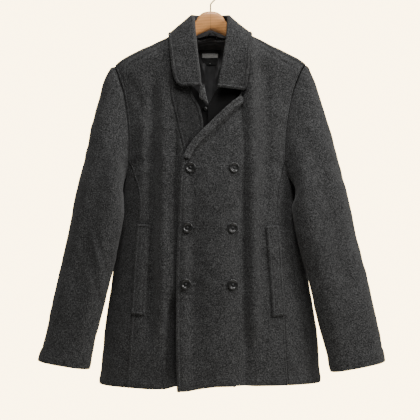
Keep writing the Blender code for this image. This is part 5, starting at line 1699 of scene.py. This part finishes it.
def build_collar():
    """The collar: stand and fall in one grid, with its two corners rounded and its free edges turned."""
    rows = collar_rows()
    last = rows.shape[1] - 1
    step = bpy.context.scene.coat_shape.step
    place = spaced(COLLAR_LENGTH, step)[:, None] * last
    across = COLLAR_NECK_SHARE + (1 - COLLAR_NECK_SHARE) * spaced(COLLAR_DEPTH, 0.7 * step)[None]
    place, across = np.broadcast_arrays(place, across)
    place, lower = rounded(place, 1 - across, *COLLAR_CORNER[RIGHT])
    across = 1 - lower
    end, lower = rounded(last - place, 1 - across, *COLLAR_CORNER[LEFT])
    place, across = last - end, 1 - lower
    points = collar_point(place, across, rows)
    inside, roll = smooth_line(place, (rows[0] + rows[2]) / 2), smooth_line(place, rows[1])
    clear = np.clip(place, 0.001, last - 0.001), np.clip(across, 0.001, 0.999)
    normal = normals(lambda a, b: collar_point(a, b, rows), *clear, roll - inside)
    distances = from_borders(points)
    relief = folded(np.minimum.reduce(distances[:3]), TOPSTITCH)
    slack = uneven(points, COLLAR_SEED) * ease(0.0, 0.02, distances[FIRST])
    outer = points + normal * (COLLAR_CLOTH + slack + relief)[..., None]
    uv = np.stack([distances[BOTTOM], distances[FIRST]], axis=-1)
    piece = shell("collar_cloth", outer, normal, COLLAR_CLOTH + relief, [finish("melange wool")], (1, 1, 1, 0.3), uv)
    line_stand(piece)
    finished(piece, "wool", "collar")
    routes = [
        route(outer, normal, distances, border, TOPSTITCH, start, 0.006)
        for border, start in ((LAST, 0.006), (BOTTOM, 0.035), (TOP, 0.035))
    ]
    return cut_cloth(piece, with_pieces=[add_stitches("collar_stitches", routes)])


# Trims, inside and hanger


def front_height(x, z, side):
    """How far the front's face stands out at a place, with its lift and its slack."""
    points = sheet(x, path_to(x, z), FRONT, side)
    raised = over_lift(x, z) if side == LEFT else 0.0
    return raised + uneven(points, SLACK_SEED) + creases(x, z, FRONT_CREASES[side])


def strip_grid(table, levels, widths):
    """Places beside an edge line: along it by level, and across it by width, towards its lower side."""
    step = 0.01
    x, z = (read_column(table, axis, levels) for axis in (1, 2))
    run_x, run_z = (
        read_column(table, axis, levels + step) - read_column(table, axis, levels - step)
        for axis in (1, 2)
    )
    length = np.hypot(run_x, run_z)
    across_x, across_z = run_z / length, -run_x / length
    return x[:, None] + across_x[:, None] * widths, z[:, None] + across_z[:, None] * widths


def build_applied(name, x, z, side, clearance, thickness, stitched, wool="melange wool"):
    """A strip or welt that lies on a front: the front's own surface, moved out, with turned and stitched edges."""
    normal = front_normals(x, z, side)
    base = sheet(x, path_to(x, z), FRONT, side) + normal * (front_height(x, z, side) + clearance)[..., None]
    distances = from_borders(base)
    relief = folded(np.minimum.reduce(distances), stitched)
    outer = base + normal * (thickness + relief)[..., None]
    uv = stacked(x, z)
    piece = shell(name + "_cloth", outer, normal, thickness + relief, [finish(wool)], uv=uv)
    finished(piece, "wool", name)
    return piece, [route(outer, normal, distances, border, stitched, stitched, stitched) for border in range(4)]


def build_lapel_left():
    """The left lapel's narrow turned-back edge, a strip beside the over front's break."""
    levels = np.linspace(*STRIP_LEVELS, 60)
    shares = np.array([0, 0.05, 0.12, 0.22, 0.35, 0.5, 0.65, 0.78, 0.88, 0.95, 1])
    widths = STRIP_EDGE + (STRIP_WIDTH - STRIP_EDGE) * shares
    x, z = strip_grid(OVER_EDGE, levels, widths)
    # The strip's lighter wool is a painted highlight
    piece, _ = build_applied("lapel_left", x, z, LEFT, 4 * GAP, STRIP_CLOTH, STRIP_STITCH, "pressed wool")
    return cut_cloth(piece)


def build_welts():
    """The pocket welts, each beside its side seam and closed by four rows of stitches."""
    for side, name in ((RIGHT, "welt_right"), (LEFT, "welt_left")):
        top, bottom = WELTS[side]
        height = bottom + (top - bottom) * spaced(top - bottom, 0.004)[:, None]
        seam = read_column(SIDE_SEAMS, 1 + (side > 0), height)
        width = WELT_WIDTH - WELT_EDGE
        across = WELT_EDGE + width * spaced(width, 0.002)[None]
        x = side * (seam - across)
        z = height - WELT_SLOPE * across
        piece, routes = build_applied(name, x, z, side, 2 * GAP, WELT_CLOTH, WELT_STITCH)
        rows = add_stitches(name + "_stitches", routes)
        cut_cloth(piece, with_pieces=[rows])


def build_lapel_right():
    """The right lapel's tip: a small tongue between two lines, full in its middle, with its edges turned."""
    columns = smooth_line(np.linspace(0, len(TIP) - 1, 30), np.array(TIP))
    left_x, left_z, right_x, right_z, y = columns.T[..., None]
    s = spaced(0.016, 0.002)[None]
    x = left_x * (1 - s) + right_x * s
    z = left_z * (1 - s) + right_z * s
    points = stacked(x, y + 0 * x, z)
    normal = np.broadcast_to(np.array([0.0, -1.0, 0.0]), points.shape)
    distances = from_borders(points)
    border = np.minimum.reduce(distances)
    relief = 0.0009 * ease(0, 0.004, border) + 0.0006 * np.sin(math.pi * s)
    outer = points + normal * (TIP_CLOTH + relief)[..., None]
    uv = stacked(x, z)
    # The tip's lighter wool is a painted highlight
    piece = shell("lapel_right_cloth", outer, normal, TIP_CLOTH + relief, [finish("worn wool")], uv=uv)
    cut_cloth(finished(piece, "wool", "lapel_right"))


def build_lapels():
    build_lapel_left()
    build_lapel_right()


def build_lining():
    """The lining below the back neck, from side to side, with slack folds that run down it."""
    x = LINING_HALF_WIDTH * np.linspace(-1, 1, 120)[None]
    neck = float(path_to(0.0, SHOULDER_TOP - BACK_NECK_DROP))
    top = np.maximum(neck * np.sqrt(np.clip(1 - (x / LINING_NECK) ** 2, 0, 1)) + 0.003, 0.046)
    bottom = path_to(x, LINING_FOOT + 0 * x)
    t = np.linspace(0, 1, 150)[:, None]
    path = bottom * (1 - t) + top * t
    x = np.broadcast_to(x, path.shape)
    z = sheet(x, path, BACK, LEFT)[..., 2]
    lift = -WOOL - LINING_GAP + np.minimum(creases(x, z, LINING_CREASES), SLACK_LIMIT)
    halves = [lining_wall(x, path, BACK, side, lift, LINING) for side in (RIGHT, LEFT)]
    outer, normal = (np.where((x < 0)[..., None], right, left) for right, left in zip(*halves))
    uv = stacked(x, path)
    piece = shell("lining_back_cloth", outer, normal, LINING, [finish("satin lining")], uv=uv)
    return cut_cloth(finished(piece, "lining", "lining_back"))


def build_label():
    """The label: a small woven oblong, curved with the lining, a little full between its sewn ends."""
    low, high = np.array(LABEL_BOX)
    width, height = high - low
    x = (low[0] + width * spaced(width, 0.0015))[None]
    z = (low[1] + height * spaced(height, 0.0015))[:, None]
    x, z = np.broadcast_arrays(x, z)
    face = -WOOL - LINING_GAP - LINING - 2 * GAP
    outer, normal = lining_wall(x, path_to(x, z), BACK, LEFT, face, LABEL_CLOTH)
    thickness = LABEL_CLOTH + 0.0003 * ease(0, 0.003, np.minimum.reduce(from_borders(outer)))
    uv = stacked(x, z)
    piece = shell("label_cloth", outer, normal, thickness, [finish("woven label")], uv=uv)
    return cut_cloth(finished(piece, "label", "label"))


def build_loop():
    """The hanging loop: a twisted cord on an arch, whose feet lie on the lining."""
    turn = np.linspace(math.pi, 0, 61)
    x = LOOP_MIDDLE + LOOP_HALF_WIDTH * np.cos(turn)
    z = LOOP_FOOT + LOOP_HEIGHT * np.sin(turn)
    face = -WOOL - LINING_GAP - LINING
    feet = lifted(x, path_to(x, np.full(x.shape, LOOP_FOOT)), BACK, LEFT, face - LOOP_WIRE)
    centre = np.stack([x, feet[:, 1] - 0.0015 * np.sin(turn), z], axis=-1)
    radius = LOOP_WIRE * (0.92 + 0.08 * np.sin(turn * 40))
    return add_part("hang_loop_cord", sweep(centre, radius, 12), "satin lining", "lining", "hang_loop")


def build_inside():
    build_lining()
    build_label()
    build_loop()


def build_inserts():
    """The dark inner layer across the opening: two leaves, each with a rolled upper edge and shallow folds."""
    for side, name in ((RIGHT, "insert_right"), (LEFT, "insert_left")):
        table = np.array(INSERT[side])
        stations = table[:, 0]
        width = stations[-1] - stations[0]
        x = (stations[0] + width * spaced(width, 0.003))[None]
        t = spaced(0.15, 0.0035)[:, None]
        z = INSERT_FOOT * (1 - t) + smooth(x, stations, table[:, 1]) * t
        lift = np.broadcast_to(smooth(x, stations, table[:, 2]), z.shape)
        x = np.broadcast_to(x, z.shape)
        base, normal = lining_wall(x, path_to(x, z), FRONT, side, lift, LINING)
        fold = 0.0005 * np.exp(-(((from_borders(base)[TOP] - 0.003) / 0.003) ** 2))
        slack = np.minimum(ripple(base, INSERT_SEED, 0.035, 0.0004), 0.0006)
        outer = base + normal * (slack + fold)[..., None]
        uv = stacked(x, z)
        # The inner layer is a dark cloth; its near-black colour is partly painted shade under the collar
        piece = shell(name + "_cloth", outer, normal, LINING + fold, [finish("inner layer")], uv=uv)
        cut_cloth(finished(piece, "inner_layer", name))
    x, z = SNAP_PLACE
    place = lifted(x, path_to(x, z), FRONT, RIGHT, SNAP_LIFT)
    add_part("snap_stud", turned(SNAP_TURNING, place, (0, -1, 0), 40), "resin button", "button", "snap")


def build_button(number, x, z):
    """One button: a turned rim and dish, four holes as dark discs of painted shade, and the thread that crosses
    them.
    """
    at = np.array(x), np.array(z)
    normal = front_normals(*at, LEFT)
    height = (front_height(*at, LEFT) + BUTTON_SHANK) / abs(normal[1])
    foot = sheet(at[0], path_to(*at), FRONT, LEFT) + np.array([0, FRONT * height, 0])
    disc = turned(BUTTON_TURNING, foot, normal, 64)
    add_part(f"button_{number}_disc", disc, "resin button", "button", f"button_{number}")
    across = unit(np.cross(normal, (0, 0, 1)))
    upward = np.cross(across, normal)
    tilt = math.radians(12 + 23 * math.sin(number * 2.4))
    angles = [tilt + corner * math.pi / 2 for corner in range(4)]
    ways = [BUTTON_HOLES * (math.cos(angle) * across + math.sin(angle) * upward) for angle in angles]
    # Each hole is a small near-black disc: painted shade standing in for the hole
    hole_shade_discs = [turned(HOLE_TURNING, foot + normal * BUTTON_DISH + way, normal, 16) for way in ways]
    add_part(f"button_{number}_holes", joined(hole_shade_discs), "inner layer", "button")
    cross = []
    for strand, way in enumerate(ways[:2]):
        shares = np.linspace(0, 1, 9)[:, None]
        rise = BUTTON_DISH + THREAD_ARCH * np.sin(math.pi * shares) + 0.0002 + 0.0003 * strand
        cross.append(sweep(foot + normal * rise + way * (1 - 2 * shares), BUTTON_THREAD, 8))
    add_part(f"button_{number}_thread", joined(cross), "sewing thread", "button")


def build_buttons():
    """The six buttons, and the worked buttonholes of the three that close the coat."""
    for number, (x, z) in enumerate(BUTTONS, 1):
        build_button(number, x, z)
    holes = []
    turn = round_angles(60)
    flat = np.sign(np.cos(turn)) * np.abs(np.cos(turn)) ** 0.35
    for x, z in BUTTONS[:3]:
        hole_x = x + HOLE_SHIFT + HOLE_LENGTH / 2 * flat
        hole_z = z + HOLE_WIDTH / 2 * np.sin(turn)
        lift = front_normals(hole_x, hole_z, LEFT) * (front_height(hole_x, hole_z, LEFT) + 0.0003)[..., None]
        holes.append(sweep(sheet(hole_x, path_to(hole_x, hole_z), FRONT, LEFT) + lift, 0.00075, 8, closed=True))
    add_part("buttonholes", joined(holes), "sewing thread", "wool")


def build_arms():
    """Both arms as one loft of rounded sections, with a domed middle."""
    x = HANGER_HALF_SPAN * np.sin(np.linspace(-1, 1, 161) * math.pi / 2)
    out = np.abs(x)
    under_cloth = shoulder(x) - WOOL - HANGER_GAP - HANGER_END_DROP * (out / HANGER_HALF_SPAN) ** 2
    top = read_column(HANGER_CROWN, 1, out)
    top = np.where(out > HANGER_CROWN[-1, 0], under_cloth, top) + DOME_RISE * (1 - ease(0.015, 0.036, out))
    bottom = HANGER_NOTCH - HANGER_NOTCH_SLOPE * np.hypot(out, 0.006) + HANGER_NOTCH_SLOPE * 0.006
    half = np.interp(out, (0, 0.05, HANGER_HALF_SPAN), (0.0075, 0.0080, 0.0085))
    turn = round_angles(48)
    across, upward = (np.sign(wave) * np.abs(wave) ** 0.8 for wave in (np.cos(turn), np.sin(turn)))
    y = half[:, None] * across
    z = ((top + bottom) / 2)[:, None] + ((top - bottom) / 2)[:, None] * upward
    points = np.stack([np.broadcast_to(x[:, None], y.shape), y, z], axis=-1)
    number = np.arange(y.size).reshape(y.shape)
    faces = quads(wrapped(number)).tolist() + [number[0].tolist(), number[-1, ::-1].tolist()]
    add_part("hanger_arms", (points.reshape(-1, 3), faces), "beech", "wood", "hanger_wood")


def build_hook():
    """The hook's wire: a stem out of the dome, a bend to the side, the crook, and a round tip."""
    centre = HOOK_INSIDE + HOOK_WIRE
    circle = np.linspace(math.radians(-48), math.radians(205), 90)
    crook = stacked(centre * np.cos(circle), 0 * circle, -HOOK_INSIDE + centre * np.sin(circle))
    share = np.linspace(0, 1, 30)[1:-1]
    join = crook[0]
    bend = np.stack(
        [join[0] * ease(0, 1, share), 0 * share, STEM_TOP + (join[2] - STEM_TOP) * share**0.9], axis=-1
    )
    stem = np.array([(0, 0, HANGER_TOP - 0.0008), (0, 0, -0.060), (0, 0, -0.054), (0, 0, STEM_TOP)])
    route_up = np.concatenate([stem, bend, crook])
    tip = np.linspace(0, 1, 6)[1:] * math.pi / 2
    cap = crook[-1] + unit(crook[-1] - crook[-2]) * (HOOK_WIRE * np.sin(tip))[:, None]
    radius = np.concatenate([np.full(len(route_up), HOOK_WIRE), HOOK_WIRE * np.maximum(np.cos(tip), 0.05)])
    wire = sweep(np.concatenate([route_up, cap]), radius, 24)
    add_part("hanger_hook_wire", wire, "plated steel", "steel", "hanger_hook")


def build_hanger():
    build_arms()
    build_hook()


# Studio


def build_stage():
    """The floor, the lamps, the surroundings with the paper that only the camera sees, and the camera."""
    turn = round_angles(96)
    points = stacked(FLOOR_RADIUS * np.cos(turn), FLOOR_RADIUS * np.sin(turn), np.full(turn.shape, FLOOR))
    mesh = bpy.data.meshes.new("floor")
    mesh.from_pydata(points.tolist(), [], [list(range(len(turn)))])
    mesh.materials.append(finish("pale floor"))
    floor = bpy.data.objects.new("floor", mesh)
    bpy.context.scene.collection.objects.link(floor)

    for name, place, aim, size, watts, colour in LIGHTS:
        light = bpy.data.lights.new(name, "AREA")
        light.shape, light.size, light.energy, light.color = "DISK", size, watts, colour
        lamp = bpy.data.objects.new(name, light)
        lamp.location = place
        lamp.rotation_euler = (Vector(aim) - Vector(place)).to_track_quat("-Z", "Y").to_euler()
        bpy.context.scene.collection.objects.link(lamp)

    world = bpy.data.worlds.new("Studio")
    world.use_nodes = True
    tree = world.node_tree
    ambient = tree.nodes["Background"]
    ambient.inputs["Color"].default_value = (*bpy.context.scene.coat_colours.backdrop, 1)
    ambient.inputs["Strength"].default_value = AMBIENT
    paper = tree.nodes.new("ShaderNodeBackground")
    paper.inputs["Color"].default_value = (*PAPER, 1)
    seen = tree.nodes.new("ShaderNodeLightPath")
    either = tree.nodes.new("ShaderNodeMixShader")
    tree.links.new(seen.outputs["Is Camera Ray"], either.inputs[0])
    tree.links.new(ambient.outputs[0], either.inputs[1])
    tree.links.new(paper.outputs[0], either.inputs[2])
    tree.links.new(either.outputs[0], tree.nodes["World Output"].inputs["Surface"])
    bpy.context.scene.world = world

    view = bpy.data.cameras.new("Camera")
    view.lens = LENS
    view.sensor_width = 36
    camera = bpy.data.objects.new("Camera", view)
    camera.location = CAMERA
    camera.rotation_euler = (math.pi / 2, 0, 0)
    bpy.context.scene.collection.objects.link(camera)
    bpy.context.scene.camera = camera


# Settings, operators and panel


class CoatShape(bpy.types.PropertyGroup):
    step: FloatProperty(
        name="Grid step", description="How fine the cloth is", default=0.0045, min=0.002, unit="LENGTH"
    )
    stitch_pitch: FloatProperty(
        name="Stitch length", description="From one stitch to the next", default=0.0038, min=0.001, unit="LENGTH"
    )


def colour_setting(name, description, default):
    return FloatVectorProperty(name=name, description=description, default=default, subtype="COLOR")


class CoatColours(bpy.types.PropertyGroup):
    wool_dark: colour_setting("Dark wool", "Darkest fibres", (0.0060, 0.0061, 0.0062))
    wool_light: colour_setting("Pale wool", "Palest spots", (0.083, 0.084, 0.085))
    wool_hair: colour_setting("White hairs", "The few white hairs", (0.30, 0.30, 0.30))
    lining: colour_setting("Lining", "The satin", (0.026, 0.026, 0.027))
    button: colour_setting("Buttons", "The buttons' resin", (0.005, 0.005, 0.005))
    wood: colour_setting("Wood", "The hanger", (0.95, 0.46, 0.17))
    backdrop: colour_setting("Backdrop", "Floor and surroundings", (0.93, 0.90, 0.84))


class CoatOperator:
    """What every operator here does: it calls the function that makes its pieces"""

    def execute(self, context):
        self.build()
        return {"FINISHED"}


class OBJECT_OT_coat_fronts(CoatOperator, bpy.types.Operator):
    """Makes the fronts: the over front, and the under front in its two pieces"""

    bl_idname = "object.coat_fronts"
    bl_label = "Fronts"
    build = staticmethod(build_fronts)


class OBJECT_OT_coat_backs(CoatOperator, bpy.types.Operator):
    """Makes the two backs, which meet at the centre seam"""

    bl_idname = "object.coat_backs"
    bl_label = "Backs"
    build = staticmethod(build_backs)


class OBJECT_OT_coat_sides(CoatOperator, bpy.types.Operator):
    """Makes the side bodies, from the front's seam under the arm to the back's seam"""

    bl_idname = "object.coat_sides"
    bl_label = "Side bodies"
    build = staticmethod(build_sides)


class OBJECT_OT_coat_sleeves(CoatOperator, bpy.types.Operator):
    """Makes the sleeves, of two pieces each"""

    bl_idname = "object.coat_sleeves"
    bl_label = "Sleeves"
    build = staticmethod(build_sleeves)


class OBJECT_OT_coat_collar(CoatOperator, bpy.types.Operator):
    """Makes the collar with its stand, fall and topstitching"""

    bl_idname = "object.coat_collar"
    bl_label = "Collar"
    build = staticmethod(build_collar)


class OBJECT_OT_coat_lapels(CoatOperator, bpy.types.Operator):
    """Makes what is turned back of the two lapels"""

    bl_idname = "object.coat_lapels"
    bl_label = "Lapels"
    build = staticmethod(build_lapels)


class OBJECT_OT_coat_welts(CoatOperator, bpy.types.Operator):
    """Makes the pocket welts"""

    bl_idname = "object.coat_welts"
    bl_label = "Pocket welts"
    build = staticmethod(build_welts)


class OBJECT_OT_coat_inside(CoatOperator, bpy.types.Operator):
    """Makes the lining below the neck, the label and the hanging loop"""

    bl_idname = "object.coat_inside"
    bl_label = "Inside"
    build = staticmethod(build_inside)


class OBJECT_OT_coat_inserts(CoatOperator, bpy.types.Operator):
    """Makes the dark inner layer across the opening and its snap"""

    bl_idname = "object.coat_inserts"
    bl_label = "Inner layer"
    build = staticmethod(build_inserts)


class OBJECT_OT_coat_buttons(CoatOperator, bpy.types.Operator):
    """Makes the six buttons and the buttonholes"""

    bl_idname = "object.coat_buttons"
    bl_label = "Buttons"
    build = staticmethod(build_buttons)


class OBJECT_OT_coat_hanger(CoatOperator, bpy.types.Operator):
    """Makes the wooden hanger and its hook"""

    bl_idname = "object.coat_hanger"
    bl_label = "Hanger"
    build = staticmethod(build_hanger)


class OBJECT_OT_coat_stage(CoatOperator, bpy.types.Operator):
    """Makes the floor, the soft studio lights and the camera"""

    bl_idname = "object.coat_stage"
    bl_label = "Studio"
    build = staticmethod(build_stage)


OPERATORS = (
    OBJECT_OT_coat_fronts,
    OBJECT_OT_coat_backs,
    OBJECT_OT_coat_sides,
    OBJECT_OT_coat_sleeves,
    OBJECT_OT_coat_collar,
    OBJECT_OT_coat_lapels,
    OBJECT_OT_coat_welts,
    OBJECT_OT_coat_inside,
    OBJECT_OT_coat_inserts,
    OBJECT_OT_coat_buttons,
    OBJECT_OT_coat_hanger,
    OBJECT_OT_coat_stage,
)


class VIEW3D_PT_pea_coat(bpy.types.Panel):
    """Lists the settings and the pieces"""

    bl_label = "Pea coat"
    bl_idname = "VIEW3D_PT_pea_coat"
    bl_space_type = "VIEW_3D"
    bl_region_type = "UI"
    bl_category = "Pea coat"

    def draw(self, context):
        for settings in (context.scene.coat_shape, context.scene.coat_colours):
            for name in settings.__annotations__:
                self.layout.prop(settings, name)
        for operator in OPERATORS:
            self.layout.operator(operator.bl_idname)


CLASSES = (CoatShape, CoatColours, *OPERATORS, VIEW3D_PT_pea_coat)


def register():
    for each in CLASSES:
        bpy.utils.register_class(each)
    bpy.types.Scene.coat_shape = PointerProperty(type=CoatShape)
    bpy.types.Scene.coat_colours = PointerProperty(type=CoatColours)


def unregister():
    del bpy.types.Scene.coat_shape
    del bpy.types.Scene.coat_colours
    for each in reversed(CLASSES):
        bpy.utils.unregister_class(each)


def main():
    register()
    bpy.context.scene.collection.children.link(bpy.data.collections.new(COLLECTION))
    bpy.ops.object.coat_fronts()
    bpy.ops.object.coat_backs()
    bpy.ops.object.coat_sides()
    bpy.ops.object.coat_sleeves()
    bpy.ops.object.coat_collar()
    bpy.ops.object.coat_lapels()
    bpy.ops.object.coat_welts()
    bpy.ops.object.coat_inside()
    bpy.ops.object.coat_inserts()
    bpy.ops.object.coat_buttons()
    bpy.ops.object.coat_hanger()
    bpy.ops.object.coat_stage()


if __name__ == "__main__":
    main()
